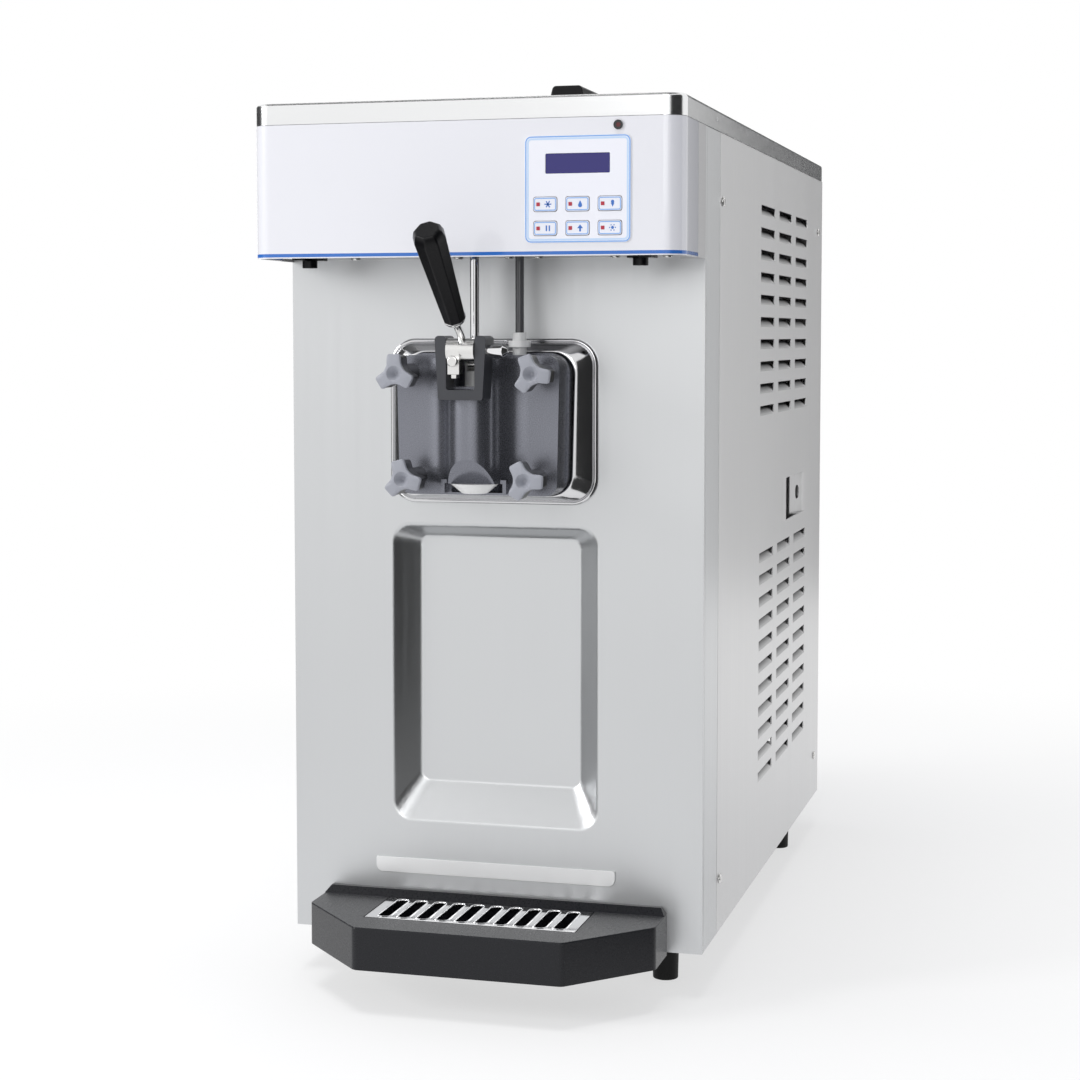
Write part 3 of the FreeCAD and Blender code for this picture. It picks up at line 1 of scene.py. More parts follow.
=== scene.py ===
import bmesh
import bpy
import json
import math
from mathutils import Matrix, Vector


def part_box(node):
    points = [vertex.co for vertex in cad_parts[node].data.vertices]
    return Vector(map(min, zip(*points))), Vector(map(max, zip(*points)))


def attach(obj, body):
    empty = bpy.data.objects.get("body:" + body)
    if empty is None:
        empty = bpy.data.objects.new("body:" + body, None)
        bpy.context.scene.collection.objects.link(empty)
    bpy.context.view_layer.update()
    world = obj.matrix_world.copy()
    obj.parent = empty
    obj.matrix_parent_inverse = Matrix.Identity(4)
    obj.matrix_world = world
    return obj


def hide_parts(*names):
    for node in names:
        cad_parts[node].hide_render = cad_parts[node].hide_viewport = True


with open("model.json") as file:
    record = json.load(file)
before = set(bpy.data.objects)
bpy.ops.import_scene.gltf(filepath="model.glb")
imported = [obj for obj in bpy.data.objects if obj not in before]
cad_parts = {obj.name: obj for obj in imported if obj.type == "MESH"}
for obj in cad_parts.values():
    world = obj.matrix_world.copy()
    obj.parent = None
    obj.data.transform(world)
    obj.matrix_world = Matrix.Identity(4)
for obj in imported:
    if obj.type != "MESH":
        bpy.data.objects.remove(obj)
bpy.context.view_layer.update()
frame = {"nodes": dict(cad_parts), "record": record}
nodes = frame["nodes"]
MM = 0.001

# Camera: focal length and upward offset in pixels of a 1080 pixel frame, place in millimetres
# from the front panel's middle at counter height, turn and tilt in radians
FRAME_PIXELS = 1080.0
FOCAL_PIXELS = 2159.4
AXIS_OFFSET_PIXELS = 60.0
SENSOR_MM = 36.0
CAMERA_RIGHT = 503.6
CAMERA_AHEAD = 1691.3
CAMERA_HEIGHT = 538.5
CAMERA_TURN = 0.268
CAMERA_TILT = -0.067

# Where the main faces are, read from the frame
PANEL_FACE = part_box("front_panel")[0].y
HEADER_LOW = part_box("header_shell")[0].z
OVERLAY_LOW, OVERLAY_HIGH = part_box("control_overlay")


# Materials

def start_material(name):
    material = bpy.data.materials.new(name)
    material.use_nodes = True
    tree = material.node_tree
    return material, tree, tree.nodes["Principled BSDF"]


def add(tree, kind, **values):
    node = tree.nodes.new(kind)
    for key, value in values.items():
        setattr(node, key, value)
    return node


def object_coordinates(tree, scale=(1, 1, 1)):
    place = add(tree, "ShaderNodeTexCoord")
    mapping = add(tree, "ShaderNodeMapping")
    mapping.inputs["Scale"].default_value = scale
    tree.links.new(place.outputs["Object"], mapping.inputs["Vector"])
    return mapping.outputs["Vector"]


def noise(tree, vector, scale, detail=2.0, roughness=0.5):
    texture = add(tree, "ShaderNodeTexNoise")
    texture.inputs["Scale"].default_value = scale
    texture.inputs["Detail"].default_value = detail
    texture.inputs["Roughness"].default_value = roughness
    tree.links.new(vector, texture.inputs["Vector"])
    return texture.outputs["Fac"]


def spread(tree, value, low, high):
    """Maps a 0 to 1 value on to low to high."""
    ranged = add(tree, "ShaderNodeMapRange")
    ranged.inputs["To Min"].default_value = low
    ranged.inputs["To Max"].default_value = high
    tree.links.new(value, ranged.inputs["Value"])
    return ranged.outputs["Result"]


def bump(tree, shader, height, strength, distance):
    node = add(tree, "ShaderNodeBump")
    node.inputs["Strength"].default_value = strength
    node.inputs["Distance"].default_value = distance
    tree.links.new(height, node.inputs["Height"])
    tree.links.new(node.outputs["Normal"], shader.inputs["Normal"])


def tint(tree, value, dark, light):
    """Colour between two ends, by a 0 to 1 value."""
    mix = add(tree, "ShaderNodeMix", data_type="RGBA")
    mix.inputs["A"].default_value = (*dark, 1)
    mix.inputs["B"].default_value = (*light, 1)
    tree.links.new(value, mix.inputs["Factor"])
    return mix.outputs["Result"]


def scaled(colour, share):
    return tuple(channel * share for channel in colour)


def math_node(tree, operation, first, second=0.0):
    """Result of a Math node on two inputs, each a socket or a number."""
    node = add(tree, "ShaderNodeMath", operation=operation)
    for socket, value in zip(node.inputs, (first, second)):
        if isinstance(value, float):
            socket.default_value = value
        else:
            tree.links.new(value, socket)
    return node.outputs["Value"]


def frame_axis(tree, axis):
    """One coordinate of the shared frame, in metres: a CAD node's object sits at the origin."""
    place = add(tree, "ShaderNodeTexCoord")
    split = add(tree, "ShaderNodeSeparateXYZ")
    tree.links.new(place.outputs["Object"], split.inputs["Vector"])
    return split.outputs[axis]


def height_band(tree, low, high):
    """1 between two heights of the shared frame, else 0."""
    height = frame_axis(tree, "Z")
    above = math_node(tree, "GREATER_THAN", height, low)
    below = math_node(tree, "LESS_THAN", height, high)
    return math_node(tree, "MULTIPLY", above, below)


def brushed_steel(name, colour, roughness, grain):
    """Satin sheet steel: long fine scratches along the axis whose grain scale is small."""
    material, tree, shader = start_material(name)
    scratches = noise(tree, object_coordinates(tree, grain), scale=1.0, detail=3.0, roughness=0.6)
    clouds = noise(tree, object_coordinates(tree), scale=7.0)
    shader.inputs["Metallic"].default_value = 1.0
    tree.links.new(tint(tree, clouds, scaled(colour, 0.965), colour), shader.inputs["Base Color"])
    tree.links.new(spread(tree, scratches, roughness - 0.06, roughness + 0.07), shader.inputs["Roughness"])
    bump(tree, shader, scratches, strength=0.06, distance=0.2 * MM)
    return material


# Depths behind a side panel's face at which a blade's painted shade begins and is full, in millimetres, and the
# painted shade's colour
LOUVER_SHADE_START = 0.8
LOUVER_SHADE_FULL = 4.5
LOUVER_SHADE = (0.025, 0.025, 0.027)
# Where the hand-grip pocket is, down from the panel's top in millimetres, and its least share of unshaded
# steel, so its ramp takes less painted shade
POCKET_DROP = (304.0, 349.0)
POCKET_LEAST_UNSHADED = 0.67


def shaded_louver_steel(name, colour, roughness, grain):
    """Side panel steel with painted shade: the pressed-in blades darken with depth behind the face, so the
    openings show nearly black.
    """
    material = brushed_steel(name, colour, roughness, grain)
    tree = material.node_tree
    shader = tree.nodes["Principled BSDF"]
    unshaded = shader.inputs["Base Color"].links[0].from_socket
    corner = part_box("right_side_panel")[1]
    # Painted shade: the steel's colour fades to the shade colour with depth behind the face, held lighter in
    # the hand-grip pocket
    shallow = add(tree, "ShaderNodeMapRange")
    shallow.inputs["From Min"].default_value = corner.x - LOUVER_SHADE_FULL * MM
    shallow.inputs["From Max"].default_value = corner.x - LOUVER_SHADE_START * MM
    tree.links.new(math_node(tree, "ABSOLUTE", frame_axis(tree, "X")), shallow.inputs["Value"])
    pocket = height_band(tree, corner.z - POCKET_DROP[1] * MM, corner.z - POCKET_DROP[0] * MM)
    ramp = math_node(tree, "MULTIPLY", pocket, POCKET_LEAST_UNSHADED)
    mix = add(tree, "ShaderNodeMix", data_type="RGBA")
    mix.inputs["A"].default_value = (*LOUVER_SHADE, 1)
    tree.links.new(unshaded, mix.inputs["B"])
    tree.links.new(math_node(tree, "MAXIMUM", shallow.outputs["Result"], ramp), mix.inputs["Factor"])
    tree.links.new(mix.outputs["Result"], shader.inputs["Base Color"])
    return material


def polished_metal(name, colour, roughness):
    """Mirror-like metal with faint wiping marks."""
    material, tree, shader = start_material(name)
    marks = noise(tree, object_coordinates(tree, (30, 90, 60)), scale=1.0, detail=3.0)
    shader.inputs["Metallic"].default_value = 1.0
    shader.inputs["Base Color"].default_value = (*colour, 1)
    tree.links.new(spread(tree, marks, roughness * 0.6, roughness * 1.4), shader.inputs["Roughness"])
    return material


def moulded_plastic(
    name, colour, roughness, grain_size, grain_strength, wear=0.85, shine=0.5, metal=0.0, sheen=0.0
):
    """Injection moulded plastic with a fine spark texture, plain or with a metallic lustre."""
    material, tree, shader = start_material(name)
    coordinates = object_coordinates(tree)
    spark = noise(tree, coordinates, scale=1.0 / grain_size, roughness=0.7)
    clouds = noise(tree, coordinates, scale=14.0, detail=3.0)
    shader.inputs["Specular IOR Level"].default_value = shine
    shader.inputs["Metallic"].default_value = metal
    shader.inputs["Sheen Weight"].default_value = sheen
    tree.links.new(tint(tree, clouds, scaled(colour, wear), colour), shader.inputs["Base Color"])
    tree.links.new(spread(tree, spark, roughness - 0.05, roughness + 0.08), shader.inputs["Roughness"])
    bump(tree, shader, spark, grain_strength, grain_size * 0.35)
    return material


def gloss_paint(name, colour, roughness=0.12):
    """Smooth glossy plastic or enamel with a very slight orange peel."""
    material, tree, shader = start_material(name)
    peel = noise(tree, object_coordinates(tree), scale=160.0, detail=1.0)
    shader.inputs["Base Color"].default_value = (*colour, 1)
    shader.inputs["Roughness"].default_value = roughness
    shader.inputs["Coat Weight"].default_value = 0.35
    shader.inputs["Coat Roughness"].default_value = 0.05
    bump(tree, shader, peel, strength=0.02, distance=0.4 * MM)
    return material


def header_paint(name, white, line_low, line_high):
    """White gloss with one blue line along the lower edge."""
    material = gloss_paint(name, white)
    tree = material.node_tree
    shader = tree.nodes["Principled BSDF"]
    stripe = height_band(tree, line_low, line_high)
    tree.links.new(tint(tree, stripe, white, BLUE), shader.inputs["Base Color"])
    return material


BLUE = (0.035, 0.155, 0.52)
LIGHT_BLUE = (0.22, 0.42, 0.80)
HEADER_WHITE = (0.80, 0.80, 0.835)
# Height of the blue line over the header's lower edge, and its width, in millimetres
HEADER_LINE_RISE = 0.9
HEADER_LINE = 2.7


def make_materials():
    """Looks by name: the record's slots first, then those of scene pieces and of nodes unlike their slot."""
    vertical = (260, 260, 3)
    lengthwise = (260, 3, 260)
    sideways = (3, 260, 260)
    line_low = HEADER_LOW + HEADER_LINE_RISE * MM
    line_high = line_low + HEADER_LINE * MM
    return {
        "panel_steel": brushed_steel("panel_steel", (0.61, 0.62, 0.63), 0.33, vertical),
        "side_steel": brushed_steel("side_steel", (0.68, 0.68, 0.685), 0.36, vertical),
        "cap_steel": brushed_steel("cap_steel", (0.86, 0.865, 0.87), 0.18, sideways),
        "header_white": header_paint("header_white", HEADER_WHITE, line_low, line_high),
        "frame_grey": brushed_steel("frame_grey", (0.52, 0.52, 0.53), 0.36, lengthwise),
        "chrome": polished_metal("chrome", (0.80, 0.80, 0.81), 0.07),
        "bright_steel": brushed_steel("bright_steel", (0.76, 0.755, 0.745), 0.22, sideways),
        "door_charcoal": moulded_plastic(
            "door_charcoal", (0.225, 0.231, 0.264), 0.26, 0.7 * MM, 0.08, metal=0.8
        ),
        "knob_grey": moulded_plastic("knob_grey", (0.35, 0.36, 0.40), 0.45, 0.6 * MM, 0.10),
        "grip_black": moulded_plastic("grip_black", (0.004, 0.004, 0.005), 0.28, 0.7 * MM, 0.08, shine=0.2),
        "tray_black": moulded_plastic(
            "tray_black", (0.008, 0.0085, 0.0115), 0.27, 1.1 * MM, 0.3, shine=0.3, sheen=0.08
        ),
        "white_plastic": gloss_paint("white_plastic", (0.83, 0.83, 0.82), 0.3),
        "overlay_film": gloss_paint("overlay_film", (0.86, 0.865, 0.92), 0.25),
        "display": gloss_paint("display", (0.016, 0.012, 0.15), 0.08),
        "lens_red": gloss_paint("lens_red", (0.10, 0.004, 0.008), 0.08),
        "key_film": gloss_paint("key_film", (0.82, 0.835, 0.90), 0.3),
        "rubber": moulded_plastic("rubber", (0.007, 0.007, 0.007), 0.55, 0.9 * MM, 0.15, shine=0.25),
        "foam": moulded_plastic("foam", (0.70, 0.62, 0.44), 0.9, 4.0 * MM, 0.6, wear=0.8),
        "motor_grey": gloss_paint("motor_grey", (0.18, 0.20, 0.23), 0.35),
        "compressor_black": gloss_paint("compressor_black", (0.012, 0.012, 0.012), 0.3),
        "fin_aluminium": brushed_steel("fin_aluminium", (0.75, 0.75, 0.77), 0.3, vertical),
        "board_green": moulded_plastic("board_green", (0.02, 0.13, 0.05), 0.4, 0.8 * MM, 0.05),
        "louver_shaded_steel": shaded_louver_steel("louver_shaded_steel", (0.68, 0.68, 0.685), 0.36, vertical),
        "strip_steel": brushed_steel("strip_steel", (0.88, 0.885, 0.89), 0.33, sideways),
        "slope_chrome": polished_metal("slope_chrome", (0.66, 0.66, 0.67), 0.11),
        "yoke_charcoal": moulded_plastic("yoke_charcoal", (0.040, 0.042, 0.049), 0.34, 0.7 * MM, 0.08),
        "tube_grey": gloss_paint("tube_grey", (0.075, 0.075, 0.08), 0.16),
        "print_blue": gloss_paint("print_blue", BLUE, 0.25),
        "print_light": gloss_paint("print_light", LIGHT_BLUE, 0.25),
        "print_pale": gloss_paint("print_pale", (0.55, 0.70, 0.90), 0.25),
        "lamp_red": gloss_paint("lamp_red", (0.42, 0.02, 0.045), 0.2),
        "lens_ring": gloss_paint("lens_ring", (0.008, 0.008, 0.010), 0.2),
    }


materials = make_materials()


def paint(piece, name):
    """Gives the piece one material, and the record's slot where it is one of its own."""
    piece.data.materials.clear()
    piece.data.materials.append(materials[name])


# Vertices nearer than this are one, in millimetres; faces flatter than the first angle join, and edges sharper
# than the second are rounded, in degrees
WELD_REACH = 0.004
FLAT_DEGREES = 0.2
EDGE_DEGREES = 32


def soften_edges(piece, width, segments=2):
    """Small rounded edges that catch the light, on a CAD node or a piece."""
    attribute = piece.data.attributes.get("custom_normal")
    if attribute:
        piece.data.attributes.remove(attribute)
    piece.data.polygons.foreach_set("use_smooth", [True] * len(piece.data.polygons))
    weld = piece.modifiers.new("weld", "WELD")
    weld.merge_threshold = WELD_REACH * MM
    flat = piece.modifiers.new("flat", "DECIMATE")
    flat.decimate_type = "DISSOLVE"
    flat.angle_limit = math.radians(FLAT_DEGREES)
    bevel = piece.modifiers.new("edge", "BEVEL")
    bevel.width = width
    bevel.segments = segments
    bevel.limit_method = "ANGLE"
    bevel.angle_limit = math.radians(EDGE_DEGREES)
    bevel.use_clamp_overlap = True
    even = piece.modifiers.new("even", "WEIGHTED_NORMAL")
    even.keep_sharp = True


# Edge widths that differ from the usual one, in millimetres
USUAL_EDGE = 0.35
EDGE_WIDTHS = {
    "freezer_door": 1.4,
    "yoke": 3.0,
    "drip_tray": 1.2,
    "drip_grid": 0.5,
    "header_shell": 0.5,
    "hopper_lid": 0.6,
    "lid_handle": 1.5,
    "feet": 0.8,
    "draw_lever": 0.6,
    "pivot_pin": 0.3,
}

# Closed in by the cabinet, so left as they come
INNER_NODES = {
    "base_pan", "control_board", "door_seal", "drawer_guide", "freezing_cylinder", "insulation",
    "support_rails", "beater", "gear_motor", "compressor", "condenser", "fan_mount", "fan", "tray_pins",
    "draw_piston",
}

# Looks that differ from the record's slot
LOOKS = {
    "bleed_tube": "tube_grey",
    "yoke": "yoke_charcoal",
    "drip_drawer": "strip_steel",
    "left_side_panel": "louver_shaded_steel",
    "right_side_panel": "louver_shaded_steel",
}


def dress_nodes():
    for entry in frame["record"]["subparts"]:
        name = entry["node"]
        paint(nodes[name], LOOKS.get(name, entry["material_slot"]))
        if name not in INNER_NODES:
            soften_edges(nodes[name], EDGE_WIDTHS.get(name, USUAL_EDGE) * MM)


dress_nodes()


# Detail pieces

def face_outwards(mesh):
    shape = bmesh.new()
    shape.from_mesh(mesh)
    bmesh.ops.recalc_face_normals(shape, faces=shape.faces)
    shape.to_mesh(mesh)
    shape.free()


def mesh_piece(name, vertices, faces, body, slot_name):
    mesh = bpy.data.meshes.new(name)
    mesh.from_pydata([tuple(v) for v in vertices], [], faces)
    face_outwards(mesh)
    piece = bpy.data.objects.new(name, mesh)
    bpy.context.scene.collection.objects.link(piece)
    paint(piece, slot_name)
    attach(piece, body)
    return piece


def rounded_rectangle(centre_x, centre_z, width, height, radius, steps=6):
    """Points round a rectangle in the X Z plane, counter-clockwise from the lower right corner."""
    points = []
    for corner in range(4):
        sign_x = (1, 1, -1, -1)[corner]
        sign_z = (-1, 1, 1, -1)[corner]
        middle_x = centre_x + sign_x * (width / 2 - radius)
        middle_z = centre_z + sign_z * (height / 2 - radius)
        for step in range(steps + 1):
            angle = math.radians(-90 + 90 * corner + 90 * step / steps)
            points.append((middle_x + radius * math.cos(angle), middle_z + radius * math.sin(angle)))
    return points


def ribbon(points_out, points_in, front, thick):
    """Closed band between two outlines of equal count, standing proud of a face at depth front."""
    count = len(points_out)
    vertices = []
    for depth in (front - thick, front):
        vertices += [(x, depth, z) for x, z in points_out]
        vertices += [(x, depth, z) for x, z in points_in]
    faces = []
    for index in range(count):
        after = (index + 1) % count
        faces.append((index, after, count + after, count + index))
        faces.append((2 * count + index, 3 * count + index, 3 * count + after, 2 * count + after))
        faces.append((index, 2 * count + index, 2 * count + after, after))
        faces.append((count + index, count + after, 3 * count + after, 3 * count + index))
    return vertices, faces


def slab(points, front, thick):
    """Flat plate with the given outline, standing proud of a face at depth front."""
    count = len(points)
    vertices = [(x, front - thick, z) for x, z in points] + [(x, front, z) for x, z in points]
    faces = [tuple(range(count)), tuple(range(2 * count - 1, count - 1, -1))]
    for index in range(count):
        after = (index + 1) % count
        faces.append((index, count + index, count + after, after))
    return vertices, faces


def join_parts(parts):
    vertices = []
    faces = []
    for part_vertices, part_faces in parts:
        start = len(vertices)
        vertices += part_vertices
        faces += [tuple(start + index for index in face) for face in part_faces]
    return vertices, faces


PRINT_THICK = 0.06 * MM


def outline_ring(name, low, high, inset, width, radius, front, body, slot_name):
    """Printed line round a plate, given the plate's corners."""
    centre_x = (low.x + high.x) / 2
    centre_z = (low.z + high.z) / 2
    wide = high.x - low.x - 2 * inset
    tall = high.z - low.z - 2 * inset
    outer = rounded_rectangle(centre_x, centre_z, wide, tall, radius)
    inner = rounded_rectangle(centre_x, centre_z, wide - 2 * width, tall - 2 * width, radius - width)
    vertices, faces = ribbon(outer, inner, front, PRINT_THICK)
    return mesh_piece(name, vertices, faces, body, slot_name)


def disc_points(centre_x, centre_z, radius, count=20):
    points = []
    for index in range(count):
        angle = 2 * math.pi * index / count
        points.append((centre_x + radius * math.cos(angle), centre_z + radius * math.sin(angle)))
    return points


def bar_points(centre_x, centre_z, length, width, angle):
    along = (math.cos(angle) * length / 2, math.sin(angle) * length / 2)
    across = (-math.sin(angle) * width / 2, math.cos(angle) * width / 2)
    corners = []
    for sign_a, sign_b in ((1, -1), (1, 1), (-1, 1), (-1, -1)):
        x = centre_x + sign_a * along[0] + sign_b * across[0]
        z = centre_z + sign_a * along[1] + sign_b * across[1]
        corners.append((x, z))
    return corners


# Signs on the keys: plain marks, no letters, whose measures are shares of the sign's size

def star_sign(x, z, size):
    return [bar_points(x, z, size, size * 0.16, math.radians(60 * turn)) for turn in range(3)]


def drop_sign(x, z, size):
    points = []
    for index in range(24):
        angle = 2 * math.pi * index / 24
        pull = math.sin(angle / 2) ** 1.6
        points.append((x + size * 0.42 * math.sin(angle) * pull, z + size * 0.5 * math.cos(angle)))
    return [points[::-1]]


def cone_sign(x, z, size):
    cup = [(x, z - size * 0.5), (x + size * 0.26, z + size * 0.05), (x - size * 0.26, z + size * 0.05)]
    return [cup, disc_points(x, z + size * 0.24, size * 0.24)]


def pause_sign(x, z, size):
    upright = math.pi / 2
    return [bar_points(x + side * size * 0.22, z, size * 0.8, size * 0.2, upright) for side in (-1, 1)]


def arrow_sign(x, z, size):
    head = [(x - size * 0.42, z - size * 0.05), (x + size * 0.42, z - size * 0.05), (x, z + size * 0.5)]
    return [head, bar_points(x, z - size * 0.25, size * 0.5, size * 0.26, math.pi / 2)]


def dial_sign(x, z, size):
    marks = [disc_points(x, z, size * 0.22)]
    for turn in range(6):
        angle = math.radians(60 * turn)
        reach = size * 0.42
        marks.append(disc_points(x + reach * math.cos(angle), z + reach * math.sin(angle), size * 0.09, 10))
    return marks


KEY_SIGNS = (star_sign, drop_sign, cone_sign, pause_sign, arrow_sign, dial_sign)
KEY_FLANGE = 1.5 * MM
KEY_LINE_INSET = 0.5 * MM
KEY_LINE = 0.75 * MM
KEY_CORNER = 1.7 * MM
KEY_LAMP = 2.9 * MM
KEY_LAMP_CORNER = 0.35 * MM
KEY_LAMP_SHARE = 0.20
KEY_SIGN = 5.4 * MM
KEY_SIGN_SHARE = 0.62


def print_keys():
    for number, sign in enumerate(KEY_SIGNS, start=1):
        name = "key_%d" % number
        low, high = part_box(name)
        low = Vector((low.x + KEY_FLANGE, low.y, low.z + KEY_FLANGE))
        high = Vector((high.x - KEY_FLANGE, high.y, high.z - KEY_FLANGE))
        face = low.y
        outline_ring(name + "_line", low, high, KEY_LINE_INSET, KEY_LINE, KEY_CORNER, face, name, "print_light")
        middle_z = (low.z + high.z) / 2
        lamp_x = low.x + KEY_LAMP_SHARE * (high.x - low.x)
        lamp = rounded_rectangle(lamp_x, middle_z, KEY_LAMP, KEY_LAMP, KEY_LAMP_CORNER, steps=3)
        vertices, faces = slab(lamp, face, 2 * PRINT_THICK)
        mesh_piece(name + "_lamp", vertices, faces, name, "lamp_red")
        sign_x = low.x + KEY_SIGN_SHARE * (high.x - low.x)
        parts = [slab(points, face, PRINT_THICK) for points in sign(sign_x, middle_z, KEY_SIGN)]
        vertices, faces = join_parts(parts)
        mesh_piece(name + "_sign", vertices, faces, name, "print_blue")


# Lines round the control overlay: inset, width and corner radius in millimetres, look
OVERLAY_LINES = {
    "overlay_outer_line": (0.25, 1.0, 4.7, "print_light"),
    "overlay_inner_line": (1.6, 1.5, 3.6, "print_pale"),
}


def print_overlay():
    low, high = OVERLAY_LOW, OVERLAY_HIGH
    for name, (inset, width, radius, look) in OVERLAY_LINES.items():
        outline_ring(name, low, high, inset * MM, width * MM, radius * MM, low.y, "cabinet", look)


# Radii of the collar as shares of the lens's, and its thickness in millimetres
COLLAR_OUTER = 1.22
COLLAR_INNER = 0.62
COLLAR_THICK = 0.35
COLLAR_COUNT = 32


def lens_collar():
    """Black ring round the small red lens."""
    low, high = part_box("indicator_lens")
    x = (low.x + high.x) / 2
    z = (low.z + high.z) / 2
    radius = (high.x - low.x) / 2
    outer = disc_points(x, z, radius * COLLAR_OUTER, COLLAR_COUNT)
    inner = disc_points(x, z, radius * COLLAR_INNER, COLLAR_COUNT)
    vertices, faces = ribbon(outer, inner, low.y, COLLAR_THICK * MM)
    mesh_piece("lens_collar", vertices, faces, "cabinet", "lens_ring")


print_keys()
print_overlay()
lens_collar()


# Forms that the solids lack

def skin(rings, ends):
    """Skin through rings of equal count: ends is "capped", or "closed" to join the last ring to the first."""
    count = len(rings[0])
    vertices = [point for ring in rings for point in ring]
    faces = []
    levels = len(rings) if ends == "closed" else len(rings) - 1
    for level in range(levels):
        here = level * count
        there = (level + 1) % len(rings) * count
        for index in range(count):
            after = (index + 1) % count
            faces.append((here + index, here + after, there + after, there + index))
    if ends == "capped":
        faces.append(tuple(range(count - 1, -1, -1)))
        faces.append(tuple(range((len(rings) - 1) * count, len(rings) * count)))
    return vertices, faces


def shade_smooth(piece, sharp_degrees):
    piece.data.polygons.foreach_set("use_smooth", [True] * len(piece.data.polygons))
    piece.data.set_sharp_from_angle(angle=math.radians(sharp_degrees))


def machine_point(x, y, z):
    """Millimetres from the front panel's middle at counter height, as metres in the shared frame."""
    return (x * MM, PANEL_FACE + y * MM, z * MM)


# Stamped door bezel, in millimetres: a rounded lip, a crease, then a slope that rises to the door.
# How far in from the lip's edge the slope ends at the sides, above and below
BEZEL_CORNER = 22.0
SLOPE_SIDE = 17.6
SLOPE_TAPER = 2.2
SLOPE_HIGH = 11.0
SLOPE_LOW = 8.0
SLOPE_CORNER = 18.5
LIP_WIDTH = 3.6
# Distance in from the lip's edge, share of the slope, height over the front panel
BEZEL_PROFILE = (
    (0.0, 0.0, 0.0), (0.0, 0.0, 1.6), (0.3, 0.0, 2.8), (1.0, 0.0, 3.7), (1.9, 0.0, 4.0), (2.7, 0.0, 3.8),
    (3.2, 0.0, 3.2), (3.4, 0.0, 3.0), (3.6, 0.0, 3.6), (3.6, 0.02, 4.6), (3.6, 0.05, 5.2),
    (3.6, 0.4, 8.0), (3.6, 0.72, 10.6), (3.6, 0.82, 11.3), (3.6, 0.9, 11.7), (3.6, 0.96, 11.7),
    (3.6, 0.99, 11.3), (3.6, 1.0, 10.5), (3.6, 1.0, 0.5), (3.6, 0.9, 0.0),
)


def tapered_outline(half_low, half_high, low, high, radius, steps=12):
    """Rounded outline with sloping sides, counter-clockwise from the lower right corner."""
    points = []
    for corner in range(4):
        sign_x = (1, 1, -1, -1)[corner]
        half = (half_low, half_high, half_high, half_low)[corner]
        level = (low + radius, high - radius, high - radius, low + radius)[corner]
        for step in range(steps + 1):
            angle = math.radians(-90 + 90 * corner + 90 * step / steps)
            x = sign_x * (half - radius) + radius * math.cos(angle)
            points.append((x, level + radius * math.sin(angle)))
    return points


def stamped_bezel():
    low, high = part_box("door_bezel")
    half = high.x / MM
    bottom = low.z / MM
    top = high.z / MM
    rings = []
    for inset, share, lift in BEZEL_PROFILE:
        side = inset + (SLOPE_SIDE - LIP_WIDTH) * share
        ring_low = bottom + inset + (SLOPE_LOW - LIP_WIDTH) * share
        ring_high = top - inset - (SLOPE_HIGH - LIP_WIDTH) * share
        radius = BEZEL_CORNER - inset + (SLOPE_CORNER - BEZEL_CORNER + LIP_WIDTH) * share
        points = tapered_outline(half - side - SLOPE_TAPER * share, half - side, ring_low, ring_high, radius)
        rings.append([machine_point(x, -lift, z) for x, z in points])
    vertices, faces = skin(rings, "closed")
    piece = mesh_piece("stamped_bezel", vertices, faces, "cabinet", "slope_chrome")
    shade_smooth(piece, sharp_degrees=50)
    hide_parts("door_bezel")


# Draw handle: bent rod, cupped ferrule and eight-sided grip in the machine's middle plane, in millimetres.
# Places are distances behind the front panel and heights over the counter
GRIP_LOW = (-105.0, 551.0)
GRIP_ALONG = (-0.718, 0.696)
GRIP_SIDES = 8
GRIP_EDGE = 0.9
# Distance along the grip and its width across flats
GRIP_STATIONS = ((0.0, 15.4), (1.4, 16.8), (86.0, 24.0), (91.0, 21.0), (93.6, 16.5))
# Distance along the grip's axis and radius
FERRULE_STATIONS = ((-5.4, 2.9), (-3.6, 5.6), (-1.6, 7.9), (0.4, 8.9), (1.5, 9.1), (1.7, 8.6), (0.9, 8.0))
FERRULE_COUNT = 40
ROD_RADIUS = 2.9
ROD_COUNT = 24
ROD_STEPS = 14
# Corners of the rod's bend: two places, then two distances along the grip's axis
ROD_FOOT = (-85.6, 531.0)
ROD_RISE = (-86.6, 540.5)
ROD_LEAN = -14.0
ROD_END = -2.0
# Share of the bend to either side over which its direction is taken
ROD_LOOK = 0.02


def across_ring(along, point, radius, count):
    """Ring of points round a place in the middle plane, square to a direction in that plane."""
    ring = []
    for index in range(count):
        angle = 2 * math.pi * index / count
        out = radius * math.cos(angle)
        up = radius * math.sin(angle)
        ring.append(machine_point(out, point[0] - along[1] * up, point[1] + along[0] * up))
    return ring


def grip_place(distance):
    return (GRIP_LOW[0] + GRIP_ALONG[0] * distance, GRIP_LOW[1] + GRIP_ALONG[1] * distance)


def draw_grip():
    rings = []
    for distance, across in GRIP_STATIONS:
        radius = across / 2 / math.cos(math.pi / GRIP_SIDES)
        rings.append(across_ring(GRIP_ALONG, grip_place(distance), radius, GRIP_SIDES))
    vertices, faces = skin(rings, "capped")
    piece = mesh_piece("draw_grip", vertices, faces, "handle", "grip_black")
    soften_edges(piece, GRIP_EDGE * MM, segments=3)
    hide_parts("handle_grip")


def bend_point(share):
    """Smooth bend from the lever's barrel into the grip's axis."""
    weights = ((1 - share) ** 3, 3 * share * (1 - share) ** 2, 3 * share ** 2 * (1 - share), share ** 3)
    corners = (ROD_FOOT, ROD_RISE, grip_place(ROD_LEAN), grip_place(ROD_END))
    return tuple(sum(weight * corner[axis] for weight, corner in zip(weights, corners)) for axis in (0, 1))


